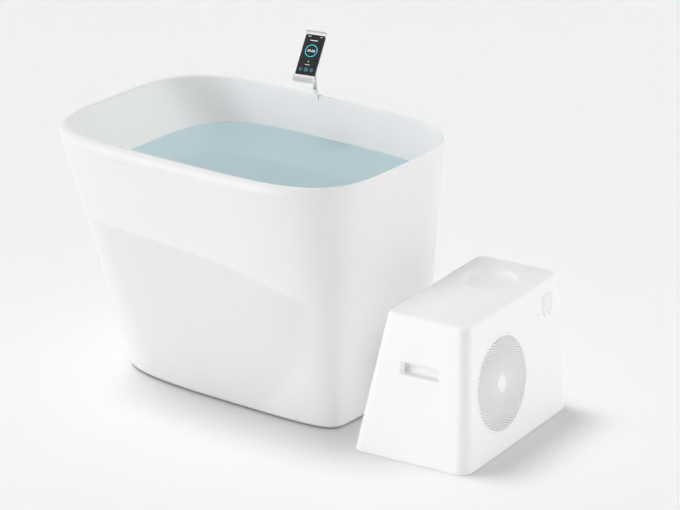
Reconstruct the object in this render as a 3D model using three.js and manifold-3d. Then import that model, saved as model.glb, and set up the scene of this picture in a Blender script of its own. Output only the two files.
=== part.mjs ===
// Cold plunge tub with a free-standing chiller and a handset clamped to its rim.
// Millimetres, +Z up. The origin is on the floor under the middle of the rim, and +X runs along the tub
// from the sloped backrest to the foot end, where the chiller stands.
import * as THREE from "three";
import { mergeVertices } from "three/addons/utils/BufferGeometryUtils.js";
import Module from "manifold-3d";

const wasm = await Module();
wasm.setup();

// Clearances and facets
const fitGap = 0.3;
const turnGap = 0.4;
const weldDistance = 1e-3;
const wallFacets = 40;
const roundFacets = 20;
const largeFacets = 36;
const smallFacets = 12;
const tubeFacets = 8;

// Tub shell: a ruled wall from an oval at the floor to an oval at rim height
const rimHalfLength = 611.5;
const rimHalfWidth = 436;
const rimShift = -8.5;
const rimHeight = 852;
const rimPowers = [4, 4];
const floorHalfLength = 464.5;
const floorHalfWidth = 292;
const floorShift = 79.5;
const floorBackPowers = [2.6, 6];
const floorFootPowers = [4, 16];
const shellSkin = 5;
const shellFootRound = 16;
const padThickness = 3;
const padInset = 26;

// Rim of the basin, which sits on the shell: the wall rolls in softly to a crown with a crisp inner edge.
// The roll runs in from the wall's own line at rim height, and a little out past it at the foot end.
const rollBack = 52;
const rollSide = 31;
const rollFoot = -3;
const crownRound = 5;
const rollHeight = 45;
const rollSteps = 5;
const hollowTurn = THREE.MathUtils.degToRad(30);

// Shallow swept recess in the lower wall of each long side
const recessDepth = 5;
const recessStep = 8;
const recessTop = 556;
const recessFall = 112;
const recessFallPower = 2.7;
const recessFallStart = -300;
const recessFallEnd = 500;
const recessStart = -450;
const recessFull = -330;
const recessFadeStart = -100;
const recessFadeEnd = 520;

// Inner basin: wall thicknesses from the outer face at the back, the sides and the foot end
const basinSkin = 5;
const basinPowers = [4, 4];
const shoulderHeight = 715;
const shoulderBack = 147;
const shoulderSide = 34;
const shoulderFoot = 40;
const seatHeight = 500;
const seatRound = 30;
const seatBack = 147;
const seatSide = 60;
const seatFoot = 33;
const wellStart = 215;
const wellSlope = 29;
const wellSide = 140;
const wellFoot = 69;
const wellFloor = 110;
const wellRound = 18;
const foamTop = 700;

// Water fittings through the foot end
const fittingHeight = 170;
const suctionY = -37;
const returnY = 45;
const spotDepth = 2;
const barrelRadius = 17;
const barrelBore = 12;
const barrelTail = 38;
const flangeRadius = 29;
const flangeThickness = 6;
const nutThickness = 10;
const nutRadius = 28;
const grateRadius = 31;
const grateThickness = 5;
const grateHoles = 8;
const grateHoleRadius = 4;
const nozzleLip = 17;
const nozzleLipThickness = 5;
const nozzleTail = 14;
const nozzleBore = 8;

// Floor drain with its elbow, ball valve and lever
const drainX = 375;
const drainY = 0;
const drainHeight = 62;
const drainRadius = 15;
const drainBore = 11;
const drainTail = 22;
const drainFlangeRadius = 28;
const valveRadius = 22;
const valveLength = 34;
const valveStandOff = 6;
const valveSocket = 12;
const stemRadius = 7;
const stemHeight = 30;
const leverLength = 48;
const leverWidth = 16;
const leverThickness = 5;

// Rim clip and swivelling stem of the handset holder
const holderX = -44;
const holderYaw = THREE.MathUtils.degToRad(11.4);
const clipGap = 0.9;
const clipThickness = 4;
const clipLength = 36;
const clipInside = 8.5;
const clipLeg = 14;
const clipTurn = THREE.MathUtils.degToRad(18);
const clipSteps = 6;
const bossRadius = 11;
const bossHeight = 12;
const spigotRadius = 4;
const spigotDepth = 9;
const stemFootRadius = 7;
const stemFootRound = 4;
const stemTaperHeight = 45;
const stemNeckRadius = 4.2;
const knuckleHeight = 136;
const knuckleRadius = 8;
const knuckleWidth = 14;
const pinRadius = 3;
const pinHead = 2;

// Cradle and handset, tilted back together about the pin
const cradleLean = THREE.MathUtils.degToRad(38);
const handsetDrop = 27;
const handsetWidth = 73;
const handsetLength = 154;
const handsetThickness = 8;
const handsetCorner = 11;
const glassThickness = 0.9;
const glassBorder = 1.6;
const plateBack = 14;
const plateThickness = 4;
const plateWidth = 66;
const plateHeight = 128;
const plateCorner = 10;
const tongueWidth = 30;
const tongueLength = 66;
const tongueThickness = 2.5;
const lugThickness = 4;
const lugHeight = 20;
const jawWidth = 76;
const lowerJawHeight = 14;
const upperJawHeight = 7;
const jawLip = 4;
const jawLipRise = 4;
const jawPad = 2;
const jawPadInset = 3;

// Chiller casing: a box whose four sides lean in
const chillerX = 660;
const chillerY = -343;
const chillerTurn = THREE.MathUtils.degToRad(5);
const chillerWidth = 424;
const chillerDepth = 676;
const chillerHeight = 468;
const leanLeft = 84;
const leanRight = 43;
const leanFront = 68;
const leanBack = 8;
const cornerFoot = 42;
const cornerTop = 34;
const cornerFacets = 4;
const topRound = 14;
const casingWall = 4;
const skirtGap = 2.5;
const footHeight = 8;
const footRadius = 20;
const footInset = 62;
const trayThickness = 6;
const trayFit = 0.5;

// Grip cups in the front and rear faces
const gripHeight = 300;
const gripWidth = 140;
const gripTall = 39;
const gripDepth = 34;
const gripCorner = 5;
const gripWall = 3;

// Fan side: grille, shroud, bracket, motor, rotor and condenser on one axis
const fanV = 260;
const fanHeight = 223;
const grilleRadius = 162;
const grilleRim = 6;
const grilleHub = 26;
const grilleRings = 5;
const grilleSpokes = 18;
const grilleHoleFill = 0.62;
const mouthGap = 22;
const shroudDepth = 76;
const shroudPlate = 3;
const shroudBore = 142;
const shroudWall = 4;
const shroudMargin = 9;
const bracketThickness = 6;
const bracketArm = 20;
const bracketHub = 42;
const bracketArms = 4;
const motorRadius = 38;
const motorLength = 36;
const shaftRadius = 4;
const shaftLength = 28;
const rotorHubRadius = 41;
const rotorHubStart = 39;
const rotorHubLength = 24;
const bladeCount = 5;
const bladeGap = 5;
const bladeThickness = 2.5;
const bladeRootChord = 44;
const bladeTipChord = 58;
const bladeRootPitch = THREE.MathUtils.degToRad(58);
const bladeTipPitch = THREE.MathUtils.degToRad(68);
const condenserThickness = 40;
const tubeSheet = 3;

// Refrigerant and water pieces standing on the tray
const compressorU = 120;
const compressorV = 170;
const compressorRadius = 56;
const compressorHeight = 188;
const compressorDome = 26;
const compressorFoot = 68;
const compressorFootThickness = 4;
const matThickness = 6;
const lineRadius = 6;
const lineRise = 30;
const lineHeadroom = 40;
const lineBend = 40;
const lineStraight = 12;
const exchangerLeft = 90;
const exchangerWidth = 70;
const exchangerFront = 270;
const exchangerDepth = 130;
const exchangerHeight = 240;
const portRadius = 9;
const portLength = 10;
const portHeight = 130;
const pumpU = 92;
const pumpFront = 440;
const pumpMotorRadius = 38;
const pumpMotorLength = 92;
const voluteRadius = 44;
const voluteLength = 40;
const cradleBase = 14;
const cradleWidth = 60;
const cradleLength = 50;

// Filter canister under the round lid in the top
const filterU = 227;
const filterV = 489;
const lidRadius = 100;
const lidEdge = 10;
const lidRim = 9;
const lidDish = 15;
const lidDishRadius = 70;
const lidCrown = 3;
const lidShoulder = 26;
const lidShoulderRadius = 72;
const lidSpigot = 10;
const canisterRadius = 66;
const canisterWall = 4;
const canisterFloor = 5;
const sealThickness = 3;
const cartridgeRadius = 52;
const cartridgeCore = 18;
const cartridgeLength = 300;
const pleatDepth = 7;
const pleatCount = 20;

// Controls and connections
const panelV = 576;
const panelDrop = 82;
const bezelSize = 62;
const bezelCorner = 8;
const bezelProud = 2;
const bezelDepth = 8;
const bezelFloor = 1.5;
const buttonSize = 50;
const buttonCorner = 5;
const buttonProud = 1.5;
const buttonTravel = 2;
const uprightU = 336;
const uprightThickness = 3;
const uprightFront = 545;
const uprightWidth = 95;
const uprightHeadroom = 29;
const uprightFoot = 30;
const controlBoxThickness = 25;
const controlBoxHeight = 105;
const controlBoxMargin = 5;
const louvreV = 330;
const louvreHeight = 200;
const louvreWidth = 200;
const louvreTall = 176;
const louvreCorner = 8;
const louvreSlots = 9;
const louvreBorder = 14;
const louvreSlotFill = 0.6;
const unionHeight = 95;
const inletUnionU = 110;
const outletUnionU = 190;
const unionRadius = 13;
const unionBore = 9;
const unionCollar = 19;
const unionCollarThickness = 8;
const unionOut = 30;
const unionIn = 28;
const socketU = 300;
const socketHeight = 95;
const socketWidth = 50;
const socketTall = 30;
const socketCorner = 4;
const socketFlange = 5;
const socketFlangeThickness = 2;
const socketDepth = 26;
const socketWall = 3;

// Finishes
const shellWhite = { color: "#efefef", roughness: 0.38, metalness: 0 };
const basinWhite = { color: "#ececec", roughness: 0.3, metalness: 0 };
const casingWhite = { color: "#f3f3f3", roughness: 0.5, metalness: 0 };
const plasticWhite = { color: "#f0f0f0", roughness: 0.45, metalness: 0 };
const plasticGrey = { color: "#8d9194", roughness: 0.5, metalness: 0 };
const plasticBlack = { color: "#1c1d1f", roughness: 0.5, metalness: 0 };
const rubberBlack = { color: "#202124", roughness: 0.85, metalness: 0 };
const rubberGrey = { color: "#9a9c9e", roughness: 0.85, metalness: 0 };
const foamCream = { color: "#e6d9a8", roughness: 0.95, metalness: 0 };
const polishedSteel = { color: "#c9cccf", roughness: 0.15, metalness: 1 };
const zincSteel = { color: "#aeb2b5", roughness: 0.4, metalness: 1 };
const paintedBlack = { color: "#26282a", roughness: 0.4, metalness: 0.3 };
const finAluminium = { color: "#c3c6c8", roughness: 0.45, metalness: 1 };
const copper = { color: "#b87346", roughness: 0.35, metalness: 1 };
const brass = { color: "#b59a55", roughness: 0.35, metalness: 1 };
const filterPaper = { color: "#e9e6dc", roughness: 0.9, metalness: 0 };
const displayGlass = { color: "#15171a", roughness: 0.08, metalness: 0 };

const { lerp, clamp, smoothstep } = THREE.MathUtils;
const fullTurn = 2 * Math.PI;
const discSegments = smallFacets / 2;
const quarterTurn = Math.PI / 2;
const plunge = new THREE.Group();

// Adds one named piece with its own material.
function piece(parent, name, geometry, finish) {
  const mesh = new THREE.Mesh(geometry, new THREE.MeshStandardMaterial(finish));
  mesh.name = name;
  parent.add(mesh);
}

function solidOf(geometry) {
  const bare = geometry.clone();
  bare.deleteAttribute("normal");
  bare.deleteAttribute("uv");
  const merged = mergeVertices(bare, weldDistance);
  return new wasm.Manifold(
    new wasm.Mesh({
      numProp: 3,
      vertProperties: merged.attributes.position.array,
      triVerts: new Uint32Array(merged.index.array),
    }),
  );
}

function geometryOf(solid) {
  const mesh = solid.getMesh();
  const geometry = new THREE.BufferGeometry();
  geometry.setAttribute("position", new THREE.BufferAttribute(mesh.vertProperties, mesh.numProp));
  geometry.setIndex(new THREE.BufferAttribute(mesh.triVerts, 1));
  return geometry;
}

function join(...geometries) {
  return geometryOf(geometries.map(solidOf).reduce((whole, next) => whole.add(next)));
}

function cut(base, ...tools) {
  return geometryOf(tools.map(solidOf).reduce((rest, tool) => rest.subtract(tool), solidOf(base)));
}

// A copy of a geometry moved from a group's frame into its parent's.
function inParent(geometry, frame) {
  frame.updateMatrix();
  return geometry.clone().applyMatrix4(frame.matrix);
}

function box(x0, x1, y0, y1, z0, z1) {
  const geometry = new THREE.BoxGeometry(x1 - x0, y1 - y0, z1 - z0);
  return geometry.translate((x0 + x1) / 2, (y0 + y1) / 2, (z0 + z1) / 2);
}

function rod(radius, z0, z1, facets) {
  const geometry = new THREE.CylinderGeometry(radius, radius, z1 - z0, facets);
  return geometry.rotateX(quarterTurn).translate(0, 0, (z0 + z1) / 2);
}

// A turned solid about Z from [radius, height] points, run from the bottom outwards to the top.
function turned(profile, facets) {
  const points = profile.map(([radius, height]) => new THREE.Vector2(radius, height));
  return new THREE.LatheGeometry(points, facets).rotateX(quarterTurn);
}

// Each arc of a shape is drawn with twice its segments.
function slab(shape, z0, z1, arcSegments = cornerFacets / 2) {
  const settings = { depth: z1 - z0, bevelEnabled: false, curveSegments: arcSegments };
  return new THREE.ExtrudeGeometry(shape, settings).translate(0, 0, z0);
}

function roundedRectangle(width, height, radius) {
  const shape = new THREE.Shape();
  const right = width / 2 - radius;
  const top = height / 2 - radius;
  shape.absarc(right, top, radius, 0, quarterTurn, false);
  shape.absarc(-right, top, radius, quarterTurn, Math.PI, false);
  shape.absarc(-right, -top, radius, Math.PI, 3 * quarterTurn, false);
  shape.absarc(right, -top, radius, 3 * quarterTurn, fullTurn, false);
  shape.closePath();
  return shape;
}

function circlePath(x, y, radius) {
  return new THREE.Path().absarc(x, y, radius, 0, fullTurn, true);
}

// A closed solid through rings of equal count, each running anticlockwise seen from above. Every four-sided
// face is split from its lower left corner, so that two skins drawn in opposite orders stay parallel.
function loft(rings) {
  const count = rings[0].length;
  const first = rings[0];
  const last = rings[rings.length - 1];
  const middle = (ring) => ring.reduce((sum, p) => sum.add(p), new THREE.Vector3()).divideScalar(count);
  const points = [...rings.flat(), middle(first), middle(last)];
  const startCentre = points.length - 2;
  const endCentre = points.length - 1;
  const lastRing = (rings.length - 1) * count;
  const faces = [];
  for (let j = 0; j < count; j += 1) {
    const next = (j + 1) % count;
    for (let i = 0; i < rings.length - 1; i += 1) {
      const rising = rings[i + 1][j].z >= rings[i][j].z;
      const [a, b] = [i * count + j, i * count + next];
      const [d, c] = [a + count, b + count];
      faces.push(...(rising ? [a, b, c, a, c, d] : [a, b, d, b, c, d]));
    }
    faces.push(startCentre, next, j);
    faces.push(endCentre, lastRing + j, lastRing + next);
  }
  return new THREE.BufferGeometry().setFromPoints(points).setIndex(faces);
}

// Tub walls

function oval(angle, halfLength, halfWidth, [powerLong, powerWide]) {
  const c = Math.cos(angle);
  const s = Math.sin(angle);
  const x = halfLength * Math.sign(c) * Math.abs(c) ** (2 / powerLong);
  const y = halfWidth * Math.sign(s) * Math.abs(s) ** (2 / powerWide);
  return new THREE.Vector3(x, y, 0);
}

const wallAngles = Array.from({ length: wallFacets }, (_, j) => (fullTurn * j) / wallFacets);

// A point on the ruled outer wall, moved in by an inset.
function wallPoint(angle, z, inset) {
  const powers = Math.cos(angle) < 0 ? floorBackPowers : floorFootPowers;
  const low = oval(angle, floorHalfLength - inset, floorHalfWidth - inset, powers);
  const high = oval(angle, rimHalfLength - inset, rimHalfWidth - inset, rimPowers);
  low.x += floorShift;
  high.x += rimShift;
  const point = low.lerp(high, z / rimHeight);
  point.z = z;
  return point;
}

const wallRing = (z, inset) => wallAngles.map((angle) => wallPoint(angle, z, inset));
const wallBack = (z) => lerp(floorShift - floorHalfLength, rimShift - rimHalfLength, z / rimHeight);
const wallFoot = (z) => lerp(floorShift + floorHalfLength, rimShift + rimHalfLength, z / rimHeight);
const wallSide = (z) => lerp(floorHalfWidth, rimHalfWidth, z / rimHeight);
const rollStart = rimHeight - rollHeight;

// Height of the recess edge, and how far the wall steps in under it.
function recessAt(angle) {
  const x = wallPoint(angle, recessTop, 0).x;
  const along = clamp((x - recessFallStart) / (recessFallEnd - recessFallStart), 0, 1);
  const edge = recessTop - recessFall * along ** recessFallPower;
  const fade = smoothstep(x, recessStart, recessFull) * (1 - smoothstep(x, recessFadeStart, recessFadeEnd));
  return { edge, depth: recessDepth * fade };
}

// Rings of the shell's form from the floor up through some heights above the recess, moved in by an inset.
function shellRings(inset, heights) {
  const centre = padThickness + shellFootRound;
  const radius = shellFootRound - inset;
  const foot = [quarterTurn, quarterTurn / 2, 0].map((a) =>
    wallRing(centre - radius * Math.sin(a), shellFootRound - radius * Math.cos(a)),
  );
  const underEdge = wallAngles.map((angle) => {
    const { edge, depth } = recessAt(angle);
    return wallPoint(angle, edge - recessStep, inset + depth);
  });
  const edge = wallAngles.map((angle) => wallPoint(angle, recessAt(angle).edge, inset));
  return [...foot, underEdge, edge, ...heights.map((z) => wallRing(z, inset))];
}

// One level of the basin, grown outwards by the skin that it is drawn for.
function basinRing(z, back, side, foot, grow) {
  const left = wallBack(z) + back - grow;
  const right = wallFoot(z) - foot + grow;
  const half = wallSide(z) - side + grow;
  const level = new THREE.Vector3((left + right) / 2, 0, z);
  return wallAngles.map((a) => oval(a, (right - left) / 2, half, basinPowers).add(level));
}

const roundAngles = [0, quarterTurn / 2, quarterTurn];

const crownBack = wallBack(rimHeight) + rollBack;
const crownFoot = wallFoot(rimHeight) - rollFoot;
const crownHalfWidth = rimHalfWidth - rollSide;

// The crown's oval, moved in by an inset, at a height.
function crownRing(inset, z) {
  const level = new THREE.Vector3((crownBack + crownFoot) / 2, 0, z);
  const halfLength = (crownFoot - crownBack) / 2 - inset;
  const halfWidth = crownHalfWidth - inset;
  return wallAngles.map((a) => oval(a, halfLength, halfWidth, rimPowers).add(level));
}

// One ring of the roll, which leaves the line of the wall at no turn and meets the crown at a quarter turn.
function rollRing(turn) {
  const z = rollStart + rollHeight * Math.sin(turn);
  const crown = crownRing(0, z);
  return wallRing(z, 0).map((p, j) => p.lerp(crown[j], 1 - Math.cos(turn)));
}

// Rings of the bath down from the crown's inner edge to the seat.
function bathRings(grow) {
  const centre = seatHeight + seatRound;
  const radius = seatRound + grow;
  const rounded = roundAngles.map((a) => {
    const inset = seatRound - radius * Math.cos(a);
    const z = centre - radius * Math.sin(a);
    return basinRing(z, seatBack + inset, seatSide + inset, seatFoot + inset, 0);
  });
  return [
    crownRing(crownRound - grow, rimHeight - crownRound),
    basinRing(shoulderHeight, shoulderBack, shoulderSide, shoulderFoot, grow),
    ...rounded,
  ];
}

// Rings of the footwell from a top height down to its floor.
function wellRings(grow, top) {
  const centre = wellFloor + wellRound;
  const radius = wellRound + grow;
  const ring = (z, inset) => {
    const front = wellStart + wellSlope * ((seatHeight - z) / (seatHeight - wellFloor));
    const back = front - wallBack(z);
    return basinRing(z, back + inset, wellSide + inset, wellFoot + inset, 0);
  };
  const rounded = roundAngles.map((a) =>
    ring(centre - radius * Math.sin(a), wellRound - radius * Math.cos(a)),
  );
  return [ring(top, -grow), ...rounded];
}

const bathForm = (grow) => loft(bathRings(grow).reverse());
const wellForm = (grow, top) => loft(wellRings(grow, top).reverse());

// The hollow under the crown reaches up halfway between the roll and the wall of the bath.
function crownHollow() {
  const outer = rollRing(hollowTurn);
  const [edge, shoulder] = bathRings(0);
  const share = (edge[0].z - outer[0].z) / (edge[0].z - shoulder[0].z);
  return outer.map((p, j) => p.lerp(edge[j].lerp(shoulder[j], share), 0.5));
}

// Fittings through the foot end stand square to the sloped wall.
const endFrame = new THREE.Group();
endFrame.position.set(wallFoot(fittingHeight), 0, fittingHeight);
endFrame.rotation.y = Math.atan2(wallFoot(rimHeight) - wallFoot(0), rimHeight);
plunge.add(endFrame);

const outerSeat = -spotDepth;
const innerSeat = spotDepth - wellFoot * Math.cos(endFrame.rotation.y);

// Turns a solid made about Z so that it runs along +X, and sets it beside the middle line.
const alongX = (geometry, y) => geometry.rotateY(quarterTurn).translate(0, y, 0);

const fittingPlaces = [suctionY, returnY];
const fittingCut = (radius, x0, x1) =>
  fittingPlaces.map((y) => inParent(alongX(rod(radius, x0, x1, roundFacets), y), endFrame));
const boreRadius = barrelRadius + fitGap;
const wallBores = fittingCut(boreRadius, innerSeat - wellFoot / 2, outerSeat + barrelTail);
const outerSpots = fittingCut(nutRadius + turnGap, outerSeat, outerSeat + barrelTail);
const innerSpots = fittingCut(grateRadius + turnGap, innerSeat - wellFoot / 2, innerSeat);

// The drain runs down from the well floor and out through the wall near the ground.
const drainEnd = wallFoot(drainHeight) + valveStandOff + drainTail;

function drainForm(radius, top) {
  const down = rod(radius, drainHeight - radius, top, roundFacets).translate(drainX, drainY, 0);
  const out = alongX(rod(radius, drainX, drainEnd, roundFacets), drainY).translate(0, 0, drainHeight);
  return join(down, out);
}

const drainSeat = wellFloor - spotDepth;
const drainCut = drainForm(drainRadius + fitGap, seatHeight);
const drainSpot = rod(drainFlangeRadius + turnGap, drainSeat, seatHeight, roundFacets).translate(
  drainX,
  drainY,
  0,
);

function makeTub() {
  const padRing = (z) => wallRing(0, padInset).map((p) => p.setZ(z));
  piece(plunge, "base_pad", loft([padRing(0), padRing(padThickness - fitGap)]), rubberBlack);

  const heights = [foamTop, rollStart - fitGap];
  const outside = shellRings(0, heights);
  const inside = shellRings(shellSkin, heights).reverse();
  const shell = cut(loft([...outside, ...inside]), ...wallBores, ...outerSpots, drainCut);
  piece(plunge, "tub_shell", shell, shellWhite);

  const roll = Array.from({ length: rollSteps + 1 }, (_, k) => rollRing((quarterTurn * k) / rollSteps));
  const wetSide = [...roll, ...bathRings(0)];
  const underRim = [crownHollow(), wallRing(rollStart, basinSkin)];
  const drySide = [...bathRings(basinSkin).slice(1).reverse(), ...underRim];
  const bath = loft([...drySide, ...wetSide]);
  const wellHollow = wellForm(0, seatHeight + seatRound);
  piece(plunge, "inner_basin", cut(bath, wellHollow), basinWhite);

  const well = wellForm(basinSkin, seatHeight - basinSkin - fitGap);
  const liner = cut(well, wellHollow, ...wallBores, ...innerSpots, drainCut, drainSpot);
  piece(plunge, "footwell_liner", liner, basinWhite);

  const foamHole = basinSkin + fitGap;
  const block = loft(shellRings(shellSkin + fitGap, [foamTop]));
  const hollows = [bathForm(foamHole), wellForm(foamHole, seatHeight)];
  piece(plunge, "foam_insulation", cut(block, ...hollows, ...wallBores, drainCut), foamCream);
}

// Bulkheads, nuts, suction grate, return nozzle

function makeFittings() {
  const flangeBack = innerSeat - fitGap;
  const flangeFront = flangeBack - flangeThickness;
  const tailEnd = outerSeat + barrelTail;
  const bulkhead = () =>
    turned(
      [
        [barrelBore, flangeFront],
        [flangeRadius, flangeFront],
        [flangeRadius, flangeBack],
        [barrelRadius, flangeBack],
        [barrelRadius, tailEnd],
        [barrelBore, tailEnd],
        [barrelBore, flangeFront],
      ],
      roundFacets,
    );
  const nutStart = outerSeat + fitGap;
  const nut = () => {
    const body = rod(nutRadius, nutStart, nutStart + nutThickness, 6);
    return cut(body, rod(boreRadius, outerSeat, tailEnd, roundFacets));
  };
  piece(endFrame, "suction_bulkhead", alongX(bulkhead(), suctionY), plasticGrey);
  piece(endFrame, "return_bulkhead", alongX(bulkhead(), returnY), plasticGrey);
  piece(endFrame, "suction_nut", alongX(nut(), suctionY), plasticGrey);
  piece(endFrame, "return_nut", alongX(nut(), returnY), plasticGrey);

  const grateBack = flangeFront - fitGap;
  const grate = slab(perforatedDisc(grateRadius), grateBack - grateThickness, grateBack, discSegments);
  piece(endFrame, "suction_grate", alongX(grate, suctionY), plasticWhite);

  const nozzleTailRadius = barrelBore - fitGap;
  const nozzle = turned(
    [
      [nozzleBore, grateBack - nozzleLipThickness],
      [nozzleLip, grateBack - nozzleLipThickness],
      [nozzleLip, grateBack],
      [nozzleTailRadius, grateBack],
      [nozzleTailRadius, grateBack + nozzleTail],
      [nozzleBore, grateBack + nozzleTail],
      [nozzleBore, grateBack - nozzleLipThickness],
    ],
    roundFacets,
  );
  piece(endFrame, "return_nozzle", alongX(nozzle, returnY), plasticWhite);
}

// A round plate with one middle hole and a ring of holes.
function perforatedDisc(radius) {
  const disc = new THREE.Shape().absarc(0, 0, radius, 0, fullTurn, false);
  disc.holes.push(circlePath(0, 0, grateHoleRadius));
  const ring = (radius + grateHoleRadius) / 2;
  for (let k = 0; k < grateHoles; k += 1) {
    const a = (fullTurn * k) / grateHoles;
    disc.holes.push(circlePath(ring * Math.cos(a), ring * Math.sin(a), grateHoleRadius));
  }
  return disc;
}

function makeDrain() {
  const flangeBottom = drainSeat + fitGap;
  const flangeTop = flangeBottom + flangeThickness;
  const flange = rod(drainFlangeRadius, flangeBottom, flangeTop, roundFacets).translate(drainX, drainY, 0);
  const pipe = join(drainForm(drainRadius, flangeTop), flange);
  const wayDown = rod(drainBore, drainHeight, flangeTop + flangeThickness, roundFacets);
  const wayOut = alongX(rod(drainBore, drainX, drainEnd + drainTail, roundFacets), drainY);
  wayDown.translate(drainX, drainY, 0);
  wayOut.translate(0, 0, drainHeight);
  piece(plunge, "drain_elbow", cut(pipe, wayDown, wayOut), plasticGrey);

  const grateBottom = flangeTop + fitGap;
  const grateTop = grateBottom + grateThickness;
  const grate = slab(perforatedDisc(drainFlangeRadius), grateBottom, grateTop, discSegments);
  piece(plunge, "drain_grate", grate.translate(drainX, drainY, 0), polishedSteel);

  const valveStart = wallFoot(drainHeight) + valveStandOff;
  const valveFrame = new THREE.Group();
  valveFrame.position.set(valveStart, drainY, drainHeight);
  plunge.add(valveFrame);
  const socketEnd = drainTail + fitGap;
  const stemX = valveLength / 2;
  const body = alongX(rod(valveRadius, 0, valveLength, roundFacets), 0);
  const stem = rod(stemRadius, 0, stemHeight, smallFacets).translate(stemX, 0, 0);
  const socket = alongX(rod(drainRadius + fitGap, -valveSocket, socketEnd, roundFacets), 0);
  const outlet = alongX(rod(drainBore, 0, valveLength + valveSocket, roundFacets), 0);
  piece(valveFrame, "drain_valve", cut(join(body, stem), socket, outlet), brass);

  const leverBottom = stemHeight + fitGap;
  const leverTop = leverBottom + leverThickness;
  const boss = rod(leverWidth / 2, leverBottom, leverTop, smallFacets);
  const arm = box(-leverWidth / 2, leverWidth / 2, -leverLength, 0, leverBottom, leverTop);
  piece(valveFrame, "drain_lever", join(boss, arm).translate(stemX, 0, 0), paintedBlack);
}

// Handset holder

// The crown of the far rim at a given place along the tub.
function farRimAt(x) {
  const ring = crownRing(0, rimHeight).filter((p) => p.y > 0);
  const after = ring.findIndex((p) => p.x <= x);
  const [a, b] = [ring[after - 1], ring[after]];
  return a.clone().lerp(b, (x - a.x) / (b.x - a.x));
}

function makeHolder() {
  const rim = farRimAt(holderX);
  const clipFrame = new THREE.Group();
  clipFrame.position.copy(rim);
  plunge.add(clipFrame);
  const clipTop = clipGap + clipThickness;
  const bossTop = clipTop + bossHeight;

  // The clip's section, with its X out of the tub: over the roll outside, and a short leg inside.
  const overRoll = (offset) =>
    Array.from({ length: clipSteps + 1 }, (_, k) => {
      const turn = lerp(clipTurn, quarterTurn, k / clipSteps);
      const rise = rollHeight * Math.sin(turn);
      const out = (wallSide(rollStart + rise) - crownHalfWidth + offset) * Math.cos(turn);
      return [out, rise - rollHeight + offset * Math.sin(turn)];
    });
  const legBack = -clipInside - clipThickness;
  const leg = [
    [legBack, clipTop],
    [legBack, -clipLeg],
    [-clipInside, -clipLeg],
    [-clipInside, clipGap],
  ];
  const section = [...overRoll(clipTop), ...leg, ...overRoll(clipGap).reverse()];
  const saddle = new THREE.Shape(section.map(([out, up]) => new THREE.Vector2(out, up)));
  const strip = slab(saddle, -clipLength / 2, clipLength / 2);
  strip.applyMatrix4(
    new THREE.Matrix4().makeBasis(
      new THREE.Vector3(0, 1, 0),
      new THREE.Vector3(0, 0, 1),
      new THREE.Vector3(1, 0, 0),
    ),
  );
  const boss = rod(bossRadius, clipGap + clipThickness / 2, bossTop, roundFacets);
  const spigotHole = rod(spigotRadius + turnGap, bossTop - spigotDepth - fitGap, bossTop + fitGap, smallFacets);
  piece(clipFrame, "rim_clip", cut(join(strip, boss), spigotHole), plasticWhite);

  const stemFrame = new THREE.Group();
  stemFrame.position.z = bossTop + fitGap;
  stemFrame.rotation.z = holderYaw;
  clipFrame.add(stemFrame);
  const shaft = turned(
    [
      [0, -spigotDepth],
      [spigotRadius, -spigotDepth],
      [spigotRadius, 0],
      [stemFootRadius - stemFootRound, 0],
      [stemFootRadius, stemFootRound],
      [stemFootRadius, stemTaperHeight / 4],
      [stemNeckRadius, stemTaperHeight],
      [stemNeckRadius, knuckleHeight],
      [0, knuckleHeight],
    ],
    smallFacets,
  );
  const knuckle = alongX(rod(knuckleRadius, -knuckleWidth / 2, knuckleWidth / 2, smallFacets), 0);
  const pinHole = alongX(rod(pinRadius + turnGap, -knuckleWidth, knuckleWidth, smallFacets), 0);
  knuckle.translate(0, 0, knuckleHeight);
  pinHole.translate(0, 0, knuckleHeight);
  piece(stemFrame, "holder_stem", cut(join(shaft, knuckle), pinHole), polishedSteel);

  const pinHalf = knuckleWidth / 2 + turnGap + lugThickness + pinHead;
  const pin = alongX(rod(pinRadius, -pinHalf, pinHalf, smallFacets), 0);
  piece(stemFrame, "tilt_pin", pin.translate(0, 0, knuckleHeight), polishedSteel);

  const cradleFrame = new THREE.Group();
  cradleFrame.position.z = knuckleHeight;
  cradleFrame.rotation.x = -cradleLean;
  stemFrame.add(cradleFrame);
  makeCradle(cradleFrame);
}

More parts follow.
